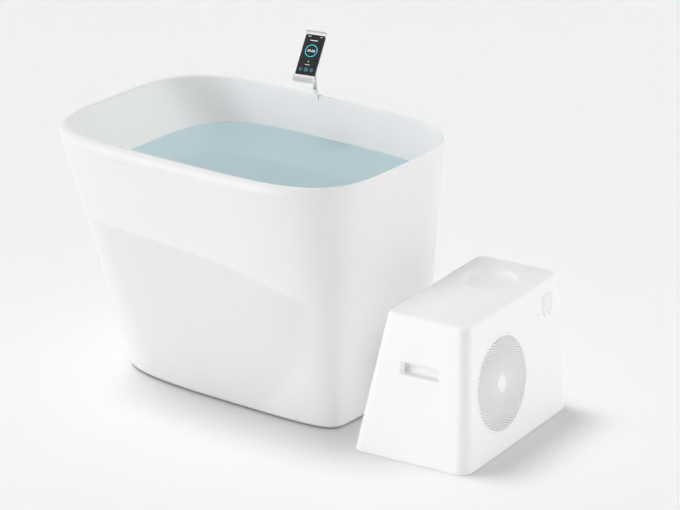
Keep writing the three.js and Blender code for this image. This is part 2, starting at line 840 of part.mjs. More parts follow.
// In the cradle's frame the pin is the origin, -Y faces the user and Z runs up the handset.
function makeCradle(frame) {
  const plateFront = -plateBack - plateThickness;
  const tongueBack = plateFront - fitGap;
  const railFront = tongueBack - tongueThickness;
  const handsetBack = railFront - fitGap;
  const handsetFront = handsetBack - handsetThickness;
  const lipFront = handsetFront - fitGap - jawLip;
  const handsetBottom = -handsetDrop - handsetLength / 2;
  const handsetTop = -handsetDrop + handsetLength / 2;

  // Shapes drawn in the plate's plane, as seen by the user, set upright facing -Y.
  const upright = (shape, front, back) =>
    slab(shape, -back, -front).rotateX(quarterTurn).translate(0, 0, -handsetDrop);

  const railInner = tongueWidth / 2 + fitGap;
  const railTop = -handsetDrop + plateHeight / 2 - plateCorner;
  const railBottom = handsetBottom;
  const railBack = plateFront + fitGap;
  const plate = upright(roundedRectangle(plateWidth, plateHeight, plateCorner), plateFront, -plateBack);
  const rails = [-1, 1].map((side) => {
    const edges = [side * railInner, (side * plateWidth) / 2].sort((a, b) => a - b);
    return box(edges[0], edges[1], railFront, railBack, railBottom, railTop);
  });
  const lugInner = knuckleWidth / 2 + turnGap;
  const lugs = [-1, 1].map((side) => {
    const edges = [side * lugInner, side * (lugInner + lugThickness)].sort((a, b) => a - b);
    return box(edges[0], edges[1], -plateBack - fitGap, lugHeight / 2, -lugHeight / 2, lugHeight / 2);
  });
  const ledgeTop = handsetBottom - jawPad - 2 * fitGap;
  const ledgeBottom = ledgeTop - lowerJawHeight;
  const half = jawWidth / 2;
  const ledge = box(-half, half, lipFront, -plateBack, ledgeBottom, ledgeTop);
  const stop = box(-half, half, lipFront, lipFront + jawLip, ledgeBottom, handsetBottom + jawLipRise);
  const pinHole = alongX(rod(pinRadius + turnGap, -half, half, smallFacets), 0);
  const foot = box(-plateWidth / 2, plateWidth / 2, plateFront, -plateBack, ledgeBottom, -handsetDrop);
  piece(frame, "cradle", cut(join(plate, foot, ...rails, ...lugs, ledge, stop), pinHole), plasticWhite);

  const padHalf = half - jawPadInset;
  const padBack = handsetBack;
  const padFront = handsetFront;
  const lowerPadTop = handsetBottom - fitGap;
  piece(
    frame,
    "lower_pad",
    box(-padHalf, padHalf, padFront, padBack, lowerPadTop - jawPad, lowerPadTop),
    rubberGrey,
  );

  const upperPadBottom = handsetTop + fitGap;
  const jawBottom = upperPadBottom + jawPad + fitGap;
  const jawTop = jawBottom + upperJawHeight;
  const tongue = box(-tongueWidth / 2, tongueWidth / 2, railFront, tongueBack, jawTop - tongueLength, jawTop);
  const bar = box(-half, half, lipFront, tongueBack, jawBottom, jawTop);
  const hook = box(-half, half, lipFront, lipFront + jawLip, handsetTop - jawLipRise, jawTop);
  piece(frame, "upper_jaw", join(tongue, bar, hook), plasticWhite);
  piece(
    frame,
    "upper_pad",
    box(-padHalf, padHalf, padFront, padBack, upperPadBottom, upperPadBottom + jawPad),
    rubberGrey,
  );

  const bodyFront = handsetFront + glassThickness + fitGap;
  const body = roundedRectangle(handsetWidth, handsetLength, handsetCorner);
  const glass = roundedRectangle(
    handsetWidth - 2 * glassBorder,
    handsetLength - 2 * glassBorder,
    handsetCorner - glassBorder,
  );
  piece(frame, "handset_body", upright(body, bodyFront, handsetBack), plasticBlack);
  piece(frame, "handset_glass", upright(glass, handsetFront, handsetFront + glassThickness), displayGlass);
}

// Chiller

const chiller = new THREE.Group();
chiller.position.set(chillerX, chillerY, 0);
chiller.rotation.z = chillerTurn;
plunge.add(chiller);

const casingRoof = chillerHeight - casingWall;
const lineTop = casingRoof - lineHeadroom;
const condenserTop = lineTop - lineRise;
const trayTop = footHeight + trayThickness;
const standOn = trayTop + fitGap;

// The casing's outer edges at a height, moved in by an inset.
function casingEdges(z, inset) {
  const share = z / chillerHeight;
  return {
    left: leanLeft * share + inset,
    right: chillerWidth - leanRight * share - inset,
    front: leanFront * share + inset,
    back: chillerDepth - leanBack * share - inset,
    corner: lerp(cornerFoot, cornerTop, share) - inset,
  };
}

function casingRing(z, inset) {
  const { left, right, front, back, corner } = casingEdges(z, inset);
  const corners = [
    [right - corner, back - corner],
    [left + corner, back - corner],
    [left + corner, front + corner],
    [right - corner, front + corner],
  ];
  return corners.flatMap(([u, v], k) =>
    Array.from({ length: cornerFacets + 1 }, (_, j) => {
      const a = quarterTurn * (k + j / cornerFacets);
      return new THREE.Vector3(u + corner * Math.cos(a), v + corner * Math.sin(a), z);
    }),
  );
}

// Rings of the casing from the skirt up over the rounded top edge.
function casingRings(inset) {
  const radius = topRound - inset;
  const rounded = roundAngles.map((a) =>
    casingRing(
      chillerHeight - topRound + radius * Math.sin(a),
      topRound - radius * Math.cos(a),
    ),
  );
  return [casingRing(skirtGap, inset), ...rounded];
}

// A frame on a casing face: X runs along the face, Y up it and Z out of it.
function faceFrame(side, along, z) {
  const edges = casingEdges(z, 0);
  const faces = {
    right: { place: [edges.right, along], out: [1, 0], lean: leanRight },
    left: { place: [edges.left, along], out: [-1, 0], lean: leanLeft },
    front: { place: [along, edges.front], out: [0, -1], lean: leanFront },
    back: { place: [along, edges.back], out: [0, 1], lean: leanBack },
  };
  const { place, out, lean } = faces[side];
  const slope = Math.atan2(lean, chillerHeight);
  const normal = new THREE.Vector3(out[0] * Math.cos(slope), out[1] * Math.cos(slope), Math.sin(slope));
  const up = new THREE.Vector3(-out[0] * Math.sin(slope), -out[1] * Math.sin(slope), Math.cos(slope));
  const across = up.clone().cross(normal);
  const frame = new THREE.Group();
  frame.position.set(place[0], place[1], z);
  frame.quaternion.setFromRotationMatrix(new THREE.Matrix4().makeBasis(across, up, normal));
  chiller.add(frame);
  return frame;
}

const gripEdges = casingEdges(gripHeight, 0);
const gripMiddle = (gripEdges.left + gripEdges.right) / 2;
const frontGrip = faceFrame("front", gripMiddle, gripHeight);
const rearGrip = faceFrame("back", gripMiddle, gripHeight);
const grilleFrame = faceFrame("right", fanV, fanHeight);
const panelFrame = faceFrame("right", panelV, chillerHeight - panelDrop);
const louvreFrame = faceFrame("left", louvreV, louvreHeight);
const inletUnion = faceFrame("back", inletUnionU, unionHeight);
const outletUnion = faceFrame("back", outletUnionU, unionHeight);
const socketFrame = faceFrame("back", socketU, socketHeight);

const cutReach = 20;

// A cutter through the wall of a face, in the chiller's frame.
const faceCut = (frame, geometry) => inParent(geometry, frame);
const slot = (width, height, corner) =>
  slab(roundedRectangle(width + 2 * fitGap, height + 2 * fitGap, corner + fitGap), -cutReach, cutReach);

function makeCasing() {
  const body = loft([...casingRings(casingWall).reverse(), ...casingRings(0)]);
  const gripSlot = slot(gripWidth + 2 * gripWall, gripTall + 2 * gripWall, gripCorner + gripWall);
  const unionBoreCut = rod(unionRadius + fitGap, -cutReach, cutReach, roundFacets);
  const lidHole = rod(lidRadius + 2 * fitGap, -cutReach, cutReach, largeFacets);
  const openings = [
    faceCut(frontGrip, gripSlot),
    faceCut(rearGrip, gripSlot),
    faceCut(grilleFrame, rod(grilleRadius + fitGap, -cutReach, cutReach, largeFacets)),
    faceCut(panelFrame, slot(bezelSize, bezelSize, bezelCorner)),
    faceCut(louvreFrame, slot(louvreWidth, louvreTall, louvreCorner)),
    faceCut(inletUnion, unionBoreCut),
    faceCut(outletUnion, unionBoreCut),
    faceCut(socketFrame, slot(socketWidth, socketTall, socketCorner)),
    lidHole.translate(filterU, filterV, chillerHeight),
  ];
  piece(chiller, "casing", cut(body, ...openings), casingWhite);
}

function makeTray() {
  const trayInset = casingWall + trayFit;
  const edges = casingEdges(trayTop, trayInset);
  const outline = casingRing(trayTop, trayInset);
  const underside = outline.map((p) => p.clone().setZ(footHeight));
  piece(chiller, "base_tray", loft([underside, outline]), zincSteel);
  const places = {
    foot_front_left: [edges.left + footInset, edges.front + footInset],
    foot_front_right: [edges.right - footInset, edges.front + footInset],
    foot_rear_left: [edges.left + footInset, edges.back - footInset],
    foot_rear_right: [edges.right - footInset, edges.back - footInset],
  };
  for (const [name, [u, v]] of Object.entries(places)) {
    const foot = rod(footRadius, 0, footHeight - fitGap, smallFacets);
    piece(chiller, name, foot.translate(u, v, 0), rubberBlack);
  }
}

function makeGrips() {
  const cup = () => {
    const outer = roundedRectangle(gripWidth + 2 * gripWall, gripTall + 2 * gripWall, gripCorner + gripWall);
    const inner = roundedRectangle(gripWidth, gripTall, gripCorner);
    return cut(slab(outer, -gripDepth - gripWall, 0), slab(inner, -gripDepth, cutReach));
  };
  piece(frontGrip, "front_grip_cup", cup(), plasticWhite);
  piece(rearGrip, "rear_grip_cup", cup(), plasticWhite);
}

// Fan side

// Diamond holes in rings, each ring turned half a step from the one inside it.
function grilleShape() {
  const disc = new THREE.Shape().absarc(0, 0, grilleRadius, 0, fullTurn, false);
  const pitch = (grilleRadius - grilleRim - grilleHub) / grilleRings;
  for (let ring = 0; ring < grilleRings; ring += 1) {
    const middle = grilleHub + pitch * (ring + 0.5);
    const reach = (pitch * grilleHoleFill) / 2;
    const half = (Math.PI / grilleSpokes) * grilleHoleFill;
    for (let spoke = 0; spoke < grilleSpokes; spoke += 1) {
      const a = (fullTurn * (spoke + (ring % 2) / 2)) / grilleSpokes;
      const at = (radius, angle) => new THREE.Vector2(radius * Math.cos(angle), radius * Math.sin(angle));
      const ends = [at(middle - reach, a), at(middle + reach, a)];
      const sides = [at(middle, a - half), at(middle, a + half)];
      disc.holes.push(new THREE.Path([ends[0], sides[0], ends[1], sides[1]]).closePath());
    }
  }
  return disc;
}

function makeFanSide() {
  const settings = { depth: casingWall, bevelEnabled: false, curveSegments: largeFacets / 2 };
  const grille = new THREE.ExtrudeGeometry(grilleShape(), settings).translate(0, 0, -casingWall);
  piece(grilleFrame, "fan_grille", grille, casingWhite);

  // From here on a frame with its X along the fan's axis, and X = 0 on the shroud plate.
  const mouth = casingEdges(fanHeight + grilleRadius, casingWall).right - mouthGap;
  const fanFrame = new THREE.Group();
  fanFrame.position.set(mouth - shroudDepth, fanV, fanHeight);
  chiller.add(fanFrame);
  const bottom = standOn - fanHeight;
  const ringRadius = shroudBore + shroudWall;
  const halfWidth = ringRadius + shroudMargin;
  const top = condenserTop - fanHeight;
  const onAxis = (geometry) => alongX(geometry, 0);

  const plate = box(0, shroudPlate, -halfWidth, halfWidth, bottom, top);
  const ring = onAxis(rod(ringRadius, 0, shroudDepth, roundFacets));
  const bore = onAxis(rod(shroudBore, -shroudDepth, 2 * shroudDepth, roundFacets));
  piece(fanFrame, "fan_shroud", cut(join(plate, ring), bore), plasticBlack);

  const bracketFront = -fitGap;
  const bracketBack = bracketFront - bracketThickness;
  const arms = Array.from({ length: bracketArms / 2 }, (_, k) => {
    const arm = box(-halfWidth, halfWidth, -bracketArm / 2, bracketArm / 2, bracketBack, bracketFront);
    return onAxis(arm.rotateZ((Math.PI * k) / (bracketArms / 2)));
  });
  const bracketMiddle = onAxis(rod(bracketHub, bracketBack, bracketFront, roundFacets));
  piece(fanFrame, "motor_bracket", join(bracketMiddle, ...arms), zincSteel);

  const motor = rod(motorRadius, 0, motorLength, roundFacets);
  const shaft = rod(shaftRadius, motorLength / 2, motorLength + shaftLength, smallFacets);
  piece(fanFrame, "fan_motor", onAxis(join(motor, shaft)), paintedBlack);
  piece(fanFrame, "fan_rotor", onAxis(rotorGeometry()), plasticBlack);

  const condenserFront = bracketBack - fitGap;
  const condenserBack = condenserFront - condenserThickness;
  const core = box(condenserBack, condenserFront, tubeSheet - halfWidth, halfWidth - tubeSheet, bottom, top);
  const sheets = [-1, 1].map((side) => {
    const edges = [side * halfWidth, side * (halfWidth - 2 * tubeSheet)].sort((a, b) => a - b);
    const half = tubeSheet / 2;
    return box(condenserBack - half, condenserFront, edges[0], edges[1], bottom, top - half);
  });
  piece(fanFrame, "condenser", join(core, ...sheets), finAluminium);
  return fanFrame.position.x + (condenserFront + condenserBack) / 2;
}

function rotorGeometry() {
  const hubEnd = rotorHubStart + rotorHubLength;
  const hubMiddle = (rotorHubStart + hubEnd) / 2;
  const hub = rod(rotorHubRadius, rotorHubStart, hubEnd, roundFacets);
  const tip = shroudBore - bladeGap;
  const root = rotorHubRadius - bladeGap;
  const section = (radius, chord, pitch) => {
    const alongChord = [Math.sin(pitch), Math.cos(pitch)];
    const corners = [
      [-1, -1],
      [1, -1],
      [1, 1],
      [-1, 1],
    ];
    return corners.map(([c, t]) => {
      const chordPart = (c * chord) / 2;
      const thickPart = (t * bladeThickness) / 2;
      const side = chordPart * alongChord[0] - thickPart * alongChord[1];
      const axial = chordPart * alongChord[1] + thickPart * alongChord[0];
      return new THREE.Vector3(radius, side, hubMiddle + axial);
    });
  };
  const blades = Array.from({ length: bladeCount }, (_, k) => {
    const blade = loft([
      section(root, bladeRootChord, bladeRootPitch),
      section((root + tip) / 2, bladeTipChord, (bladeRootPitch + bladeTipPitch) / 2),
      section(tip, bladeTipChord, bladeTipPitch),
    ]);
    return blade.rotateZ((fullTurn * k) / bladeCount);
  });
  const bore = rod(shaftRadius + turnGap, 0, hubEnd + rotorHubStart, smallFacets);
  return cut(join(hub, ...blades), bore);
}

// Refrigerant circuit

function tube(points, radius) {
  const path = new THREE.CatmullRomCurve3(points, false, "centripetal");
  const section = new THREE.Shape().absarc(0, 0, radius, 0, fullTurn, false);
  const settings = { steps: 3 * points.length, extrudePath: path, curveSegments: tubeFacets / 2 };
  return new THREE.ExtrudeGeometry(section, settings);
}

function makeRefrigeration(condenserU) {
  const matTop = standOn + matThickness;
  const mat = rod(compressorFoot, standOn, matTop, roundFacets);
  piece(chiller, "compressor_mat", mat.translate(compressorU, compressorV, 0), rubberBlack);

  const bottom = matTop + fitGap;
  const top = bottom + compressorHeight;
  const can = turned(
    [
      [0, bottom],
      [compressorFoot, bottom],
      [compressorFoot, bottom + compressorFootThickness],
      [compressorRadius, bottom + compressorFootThickness],
      [compressorRadius, top - compressorDome],
      [compressorRadius - compressorDome, top],
      [0, top],
    ],
    roundFacets,
  );
  piece(chiller, "compressor", can.translate(compressorU, compressorV, 0), paintedBlack);

  const v = compressorV;
  const discharge = [
    [compressorU, top + fitGap],
    [compressorU, top + fitGap + lineStraight],
    [compressorU, lineTop - lineBend],
    [compressorU + lineBend, lineTop],
    [condenserU - lineBend / 2, lineTop],
    [condenserU, condenserTop + fitGap + lineStraight],
    [condenserU, condenserTop + fitGap],
  ].map(([u, z]) => new THREE.Vector3(u, v, z));
  piece(chiller, "discharge_line", tube(discharge, lineRadius), copper);

  const exchangerRight = exchangerLeft + exchangerWidth;
  const exchangerBack = exchangerFront + exchangerDepth;
  const exchangerTop = standOn + exchangerHeight;
  const block = box(exchangerLeft, exchangerRight, exchangerFront, exchangerBack, standOn, exchangerTop);
  const port = rod(portRadius, 0, portLength + portRadius, smallFacets).rotateX(quarterTurn);
  port.translate(compressorU, exchangerFront + portRadius, portHeight);
  piece(chiller, "heat_exchanger", join(block, port), zincSteel);

  const lineStart = compressorV + compressorRadius + fitGap;
  const lineEnd = exchangerFront - portLength - fitGap;
  const suction = rod(lineRadius, lineStart, lineEnd, smallFacets).rotateX(-quarterTurn);
  piece(chiller, "suction_line", suction.translate(compressorU, 0, portHeight), copper);
}

// Water circuit

function makePump() {
  const axis = standOn + cradleBase + voluteRadius;
  const alongV = (radius, v0, v1) =>
    rod(radius, v0, v1, roundFacets).rotateX(-quarterTurn).translate(pumpU, 0, axis);
  const voluteBack = pumpFront + voluteLength;
  const motorBack = voluteBack + pumpMotorLength;
  const volute = alongV(voluteRadius, pumpFront, voluteBack);
  const motor = alongV(pumpMotorRadius, pumpFront + voluteLength / 2, motorBack);
  piece(chiller, "water_pump", join(volute, motor), plasticBlack);

  const blockFront = (voluteBack + motorBack - cradleLength) / 2;
  const blockBack = blockFront + cradleLength;
  const half = cradleWidth / 2;
  const block = box(pumpU - half, pumpU + half, blockFront, blockBack, standOn, axis);
  const saddle = alongV(pumpMotorRadius + fitGap, pumpFront, motorBack + cradleLength);
  piece(chiller, "pump_cradle", cut(block, saddle), rubberBlack);
}

function makeFilter() {
  const frame = new THREE.Group();
  frame.position.set(filterU, filterV, 0);
  chiller.add(frame);
  const shoulder = chillerHeight - lidShoulder;
  const spigotRadius = canisterRadius - canisterWall - turnGap;
  const dishFloor = chillerHeight - lidDish;
  const lid = turned(
    [
      [0, shoulder - lidSpigot],
      [spigotRadius, shoulder - lidSpigot],
      [spigotRadius, shoulder],
      [lidShoulderRadius, shoulder],
      [lidRadius, chillerHeight - lidEdge],
      [lidRadius, chillerHeight],
      [lidRadius - lidRim, chillerHeight],
      [lidDishRadius, dishFloor],
      [0, dishFloor - lidCrown],
    ],
    largeFacets,
  );
  piece(frame, "filter_lid", lid, plasticWhite);

  const sealTop = shoulder - fitGap;
  const sealBottom = sealTop - sealThickness;
  const sealInner = canisterRadius - canisterWall;
  const seal = turned(
    [
      [sealInner, sealBottom],
      [canisterRadius, sealBottom],
      [canisterRadius, sealTop],
      [sealInner, sealTop],
      [sealInner, sealBottom],
    ],
    largeFacets,
  );
  piece(frame, "lid_seal", seal, rubberBlack);

  const canisterTop = sealBottom - fitGap;
  const floor = standOn + canisterFloor;
  const canister = turned(
    [
      [0, standOn],
      [canisterRadius, standOn],
      [canisterRadius, canisterTop],
      [sealInner, canisterTop],
      [sealInner, floor],
      [0, floor],
    ],
    largeFacets,
  );
  piece(frame, "filter_canister", canister, plasticGrey);

  const pleats = Array.from({ length: 2 * pleatCount }, (_, k) => {
    const a = (Math.PI * k) / pleatCount;
    const radius = cartridgeRadius - (k % 2) * pleatDepth;
    return new THREE.Vector2(radius * Math.cos(a), radius * Math.sin(a));
  });
  const pleated = new THREE.Shape(pleats);
  pleated.holes.push(circlePath(0, 0, cartridgeCore));
  const cartridgeBottom = floor + fitGap;
  const cartridge = slab(pleated, cartridgeBottom, cartridgeBottom + cartridgeLength, discSegments);
  piece(frame, "filter_cartridge", cartridge, filterPaper);
}

// Controls and connections

function makeControls() {
  const pocket = roundedRectangle(
    buttonSize + 2 * fitGap,
    buttonSize + 2 * fitGap,
    buttonCorner + fitGap,
  );
  const pocketFloor = bezelFloor - bezelDepth;
  const bezelBody = slab(roundedRectangle(bezelSize, bezelSize, bezelCorner), -bezelDepth, bezelProud);
  const bezel = cut(bezelBody, slab(pocket, pocketFloor, cutReach));
  piece(panelFrame, "control_bezel", bezel, plasticWhite);
  const buttonBottom = pocketFloor + buttonTravel + fitGap;
  const button = slab(roundedRectangle(buttonSize, buttonSize, buttonCorner), buttonBottom, buttonProud);
  piece(panelFrame, "power_button", button, plasticWhite);

  const uprightBack = uprightFront + uprightWidth;
  const uprightTop = casingRoof - uprightHeadroom;
  const face = uprightU + uprightThickness;
  const web = box(uprightU, face, uprightFront, uprightBack, standOn, uprightTop);
  const toeTop = standOn + uprightThickness;
  const toe = box(uprightU, face + uprightFoot, uprightFront, uprightBack, standOn, toeTop);
  piece(chiller, "control_upright", join(web, toe), zincSteel);
  const boxStart = face + fitGap;
  const boxTop = uprightTop - controlBoxMargin;
  const controlBox = box(
    boxStart,
    boxStart + controlBoxThickness,
    uprightFront + controlBoxMargin,
    uprightBack - controlBoxMargin,
    boxTop - controlBoxHeight,
    boxTop,
  );
  piece(chiller, "control_box", controlBox, plasticBlack);
}

function makeConnections() {
  const union = () =>
    turned(
      [
        [unionBore, -unionIn],
        [unionRadius, -unionIn],
        [unionRadius, fitGap],
        [unionCollar, fitGap],
        [unionCollar, fitGap + unionCollarThickness],
        [unionRadius, fitGap + unionCollarThickness],
        [unionRadius, unionOut],
        [unionBore, unionOut],
        [unionBore, -unionIn],
      ],
      roundFacets,
    );
  piece(inletUnion, "water_inlet_union", union(), plasticGrey);
  piece(outletUnion, "water_outlet_union", union(), plasticGrey);

  const flangeWidth = socketWidth + 2 * socketFlange;
  const flangeTall = socketTall + 2 * socketFlange;
  const flangeShape = roundedRectangle(flangeWidth, flangeTall, socketCorner);
  const flange = slab(flangeShape, fitGap, fitGap + socketFlangeThickness);
  const shellShape = roundedRectangle(socketWidth, socketTall, socketCorner);
  const shell = slab(shellShape, -socketDepth, fitGap + socketFlangeThickness / 2);
  const mouthWidth = socketWidth - 2 * socketWall;
  const mouthTall = socketTall - 2 * socketWall;
  const mouthShape = roundedRectangle(mouthWidth, mouthTall, socketCorner / 2);
  const mouth = slab(mouthShape, socketWall - socketDepth, cutReach);
  piece(socketFrame, "mains_inlet", cut(join(flange, shell), mouth), plasticBlack);

  const louvre = roundedRectangle(louvreWidth, louvreTall, louvreCorner);
  const slotPitch = (louvreTall - 2 * louvreBorder) / louvreSlots;
  const slotHalf = (slotPitch * louvreSlotFill) / 2;
  const slotReach = louvreWidth / 2 - louvreBorder;
  for (let k = 0; k < louvreSlots; k += 1) {
    const y = louvreBorder - louvreTall / 2 + slotPitch * (k + 0.5);
    const corners = [
      [-slotReach, y - slotHalf],
      [-slotReach, y + slotHalf],
      [slotReach, y + slotHalf],
      [slotReach, y - slotHalf],
    ].map(([a, b]) => new THREE.Vector2(a, b));
    louvre.holes.push(new THREE.Path(corners).closePath());
  }
  piece(louvreFrame, "intake_louvre", slab(louvre, -casingWall, 0), casingWhite);
}

makeTub();
makeFittings();
makeDrain();
makeHolder();
makeCasing();
makeTray();
makeGrips();
const condenserMiddle = makeFanSide();
makeRefrigeration(condenserMiddle);
makePump();
makeFilter();
makeControls();
makeConnections();

export default plunge;
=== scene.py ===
"""A cold plunge tub with its chiller and rim handset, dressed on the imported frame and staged."""
import math
from contextlib import contextmanager

import bmesh
import bpy
from mathutils import Matrix, Vector


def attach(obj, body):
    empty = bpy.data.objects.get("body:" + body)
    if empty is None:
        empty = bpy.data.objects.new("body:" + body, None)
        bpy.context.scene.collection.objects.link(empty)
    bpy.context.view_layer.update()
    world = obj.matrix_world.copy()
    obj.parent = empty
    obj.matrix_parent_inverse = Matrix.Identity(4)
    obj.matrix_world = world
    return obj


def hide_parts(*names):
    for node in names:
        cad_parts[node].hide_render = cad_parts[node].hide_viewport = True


bl_info = {
    "name": "Plunge Tub Dresser",
    "version": (1, 0, 0),
    "blender": (4, 5, 0),
    "location": "View3D > Sidebar > Plunge",
    "description": "Builds the visible skin of a cold plunge tub, its chiller and its rim handset",
    "category": "Object",
}

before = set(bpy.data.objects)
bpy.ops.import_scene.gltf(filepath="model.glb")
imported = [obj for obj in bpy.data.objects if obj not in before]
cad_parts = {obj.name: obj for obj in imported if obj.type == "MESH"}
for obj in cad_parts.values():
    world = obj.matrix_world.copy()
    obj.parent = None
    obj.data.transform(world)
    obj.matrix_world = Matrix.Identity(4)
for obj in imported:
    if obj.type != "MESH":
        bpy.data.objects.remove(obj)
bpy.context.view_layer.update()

MM = 0.001
TURN = 2 * math.pi
QUARTER = math.pi / 2
WALL_POINTS = 240
ARC_STEPS = 8
EDGE_STEPS = 4
TUB = "tub"


def linear(code):
    """A colour written as sRGB hex, as the linear values that shaders use."""
    parts = [int(code[i : i + 2], 16) / 255 for i in (1, 3, 5)]
    return tuple(c / 12.92 if c <= 0.04045 else ((c + 0.055) / 1.055) ** 2.4 for c in parts)


def length(name, text, metres):
    return bpy.props.FloatProperty(
        name=name, description=text, default=metres, unit="LENGTH", precision=4
    )


def angle(name, text, degrees):
    return bpy.props.FloatProperty(
        name=name, description=text, default=math.radians(degrees), unit="ROTATION"
    )


def colour(name, text, code):
    return bpy.props.FloatVectorProperty(
        name=name, description=text, default=linear(code), subtype="COLOR", min=0, max=1
    )


def strength(name, text, value):
    return bpy.props.FloatProperty(name=name, description=text, default=value, min=0)


class PlungeTubProps(bpy.types.PropertyGroup):
    rim_half_length: length("Wall half length", "Half the wall along the tub at rim height", 0.6115)
    rim_half_width: length("Wall half width", "Half the wall across the tub at rim height", 0.436)
    rim_shift: length("Wall shift", "How far the wall sits towards the foot end at rim height", -0.0085)
    rim_height: length("Rim height", "Height of the rim", 0.852)
    floor_half_length: length("Floor half length", "Half the floor oval along the tub", 0.4645)
    floor_half_width: length("Floor half width", "Half the floor oval across the tub", 0.292)
    floor_shift: length("Floor shift", "How far the floor oval sits towards the foot end", 0.0795)
    crown_half_length: length("Crown half length", "Half the rim's crown along the tub", 0.587)
    crown_half_width: length("Crown half width", "Half the rim's crown across the tub", 0.405)
    crown_shift: length("Crown shift", "How far the crown sits towards the foot end", 0.019)
    recess_depth: length("Recess depth", "Depth of the swept recess in the long sides", 0.005)
    water_level: length("Water level", "Height of the water above the floor", 0.715)
    shell_colour: colour("Shell", "Gelcoat of the outer shell", "#EDEDED")
    basin_colour: colour("Basin", "Acrylic of the inner basin", "#EEEEEE")
    water_colour: colour("Water", "Tint of the water", "#CBE5EC")


class PlungeHolderProps(bpy.types.PropertyGroup):
    along: length("Place along rim", "Where the clip sits along the far rim", -0.044)
    yaw: angle("Yaw", "Turn of the stem about its axis", 11.4)
    lean: angle("Lean", "How far the handset leans back", 38)
    ring_colour: colour("Display ring", "Lit ring on the handset display", "#35A8B8")


class PlungeChillerProps(bpy.types.PropertyGroup):
    width: length("Width", "Chiller across its skirt", 0.424)
    depth: length("Depth", "Chiller along its skirt", 0.676)
    height: length("Height", "Chiller height", 0.468)
    turn: angle("Turn", "Turn of the chiller on the floor", 5)
    grille_radius: length("Grille radius", "Radius of the round fan grille", 0.162)
    grille_arms: bpy.props.IntProperty(
        name="Grille arms", description="Spiral ribs each way round the grille", default=56, min=8
    )
    casing_colour: colour("Casing", "Moulded casing", "#F7F7F7")


class PlungeStageProps(bpy.types.PropertyGroup):
    floor_colour: colour("Floor", "Studio floor", "#F4F4F4")
    sky_strength: strength("Sky", "Strength of the even light", 0.5)
    backdrop_strength: strength("Backdrop", "How bright the sky looks where the camera sees it", 0.9)
    top_strength: strength("Top key", "Strength of the light overhead", 0.75)
    floor_strength: strength(
        "Floor key", "Strength of the light on the floor alone, which deepens the shadow", 0.8
    )
    front_strength: strength("Front key", "Strength of the light in front", 1.4)
    right_strength: strength("Right key", "Strength of the shadowless light at the right", 1.2)


# Mesh helpers: shapes are drawn in millimetres and scaled once, when the mesh is made.


def smoothstep(x, low, high):
    t = min(max((x - low) / (high - low), 0), 1)
    return t * t * (3 - 2 * t)


def mix(a, b, t):
    return a + (b - a) * t


def quarter(steps):
    """Angles over a quarter turn, from 0."""
    return [QUARTER * j / steps for j in range(steps + 1)]


def shares(count):
    """Even steps up to 1, without the 0."""
    return [j / count for j in range(1, count + 1)]


def at(x, y, z=0):
    return Matrix.Translation((x, y, z))


def loft(rings, wrap=False):
    """Vertices and faces through rings of equal count, anticlockwise from above, capped or wrapped round."""
    count = len(rings[0])
    verts = [Vector(p) for ring in rings for p in ring]
    faces = []
    last = len(rings) if wrap else len(rings) - 1
    for i in range(last):
        low = i * count
        high = ((i + 1) % len(rings)) * count
        for j in range(count):
            k = (j + 1) % count
            faces.append((low + j, low + k, high + k, high + j))
    if wrap:
        return verts, faces
    for ring, start, flip in ((rings[0], 0, True), (rings[-1], last * count, False)):
        centre = len(verts)
        verts.append(sum((Vector(p) for p in ring), Vector()) / count)
        for j in range(count):
            k = (j + 1) % count
            faces.append((centre, start + k, start + j) if flip else (centre, start + j, start + k))
    return verts, faces


def lathe(profile, segments=64, wrap=False):
    """A turned shape about Z from (radius, height) points, run from the bottom outwards to the top."""
    turns = [TURN * j / segments for j in range(segments)]
    rings = [[(radius * math.cos(a), radius * math.sin(a), z) for a in turns] for radius, z in profile]
    return loft(rings, wrap)


def rounded_outline(width, height, corner, steps=ARC_STEPS):
    """Points of a rounded rectangle, anticlockwise."""
    points = []
    for k, (sx, sy) in enumerate(((1, 1), (-1, 1), (-1, -1), (1, -1))):
        x, y = sx * (width / 2 - corner), sy * (height / 2 - corner)
        for a in quarter(steps):
            turn = a + QUARTER * k
            points.append((x + corner * math.cos(turn), y + corner * math.sin(turn)))
    return points


def stepped(width, height, rows):
    """Rounded rectangles lofted through (inset, corner, height) rows."""
    rings = []
    for inset, corner, z in rows:
        outline = rounded_outline(width - 2 * inset, height - 2 * inset, corner)
        rings.append([(x, y, z) for x, y in outline])
    return loft(rings)


def plate(width, height, corner, z0, z1, edge=0.0):
    """A rounded rectangle between two heights, with its top and bottom edges rounded."""
    turns = quarter(EDGE_STEPS) if edge else [0.0]
    rows = [(edge * (1 - math.cos(a)), z0 + edge * (1 - math.sin(a))) for a in turns[::-1]]
    rows += [(edge * (1 - math.cos(a)), z1 - edge * (1 - math.sin(a))) for a in turns]
    return stepped(width, height, [(inset, corner - inset, z) for inset, z in rows])


def block(x0, x1, y0, y1, z0, z1):
    verts = [Vector((x, y, z)) for z in (z0, z1) for x, y in ((x0, y0), (x1, y0), (x1, y1), (x0, y1))]
    faces = [(3, 2, 1, 0), (4, 5, 6, 7)]
    faces += [(j, (j + 1) % 4, (j + 1) % 4 + 4, j + 4) for j in range(4)]
    return verts, faces


def moved(shape, matrix):
    verts, faces = shape
    return [matrix @ Vector(v) for v in verts], faces


def joined(*shapes):
    verts, faces = [], []
    for more, sides in shapes:
        start = len(verts)
        verts += [Vector(v) for v in more]
        faces += [tuple(start + i for i in face) for face in sides]
    return verts, faces


@contextmanager
def edited(mesh):
    """Opens a mesh for editing and writes it back."""
    bm = bmesh.new()
    bm.from_mesh(mesh)
    yield bm
    bm.to_mesh(mesh)
    bm.free()


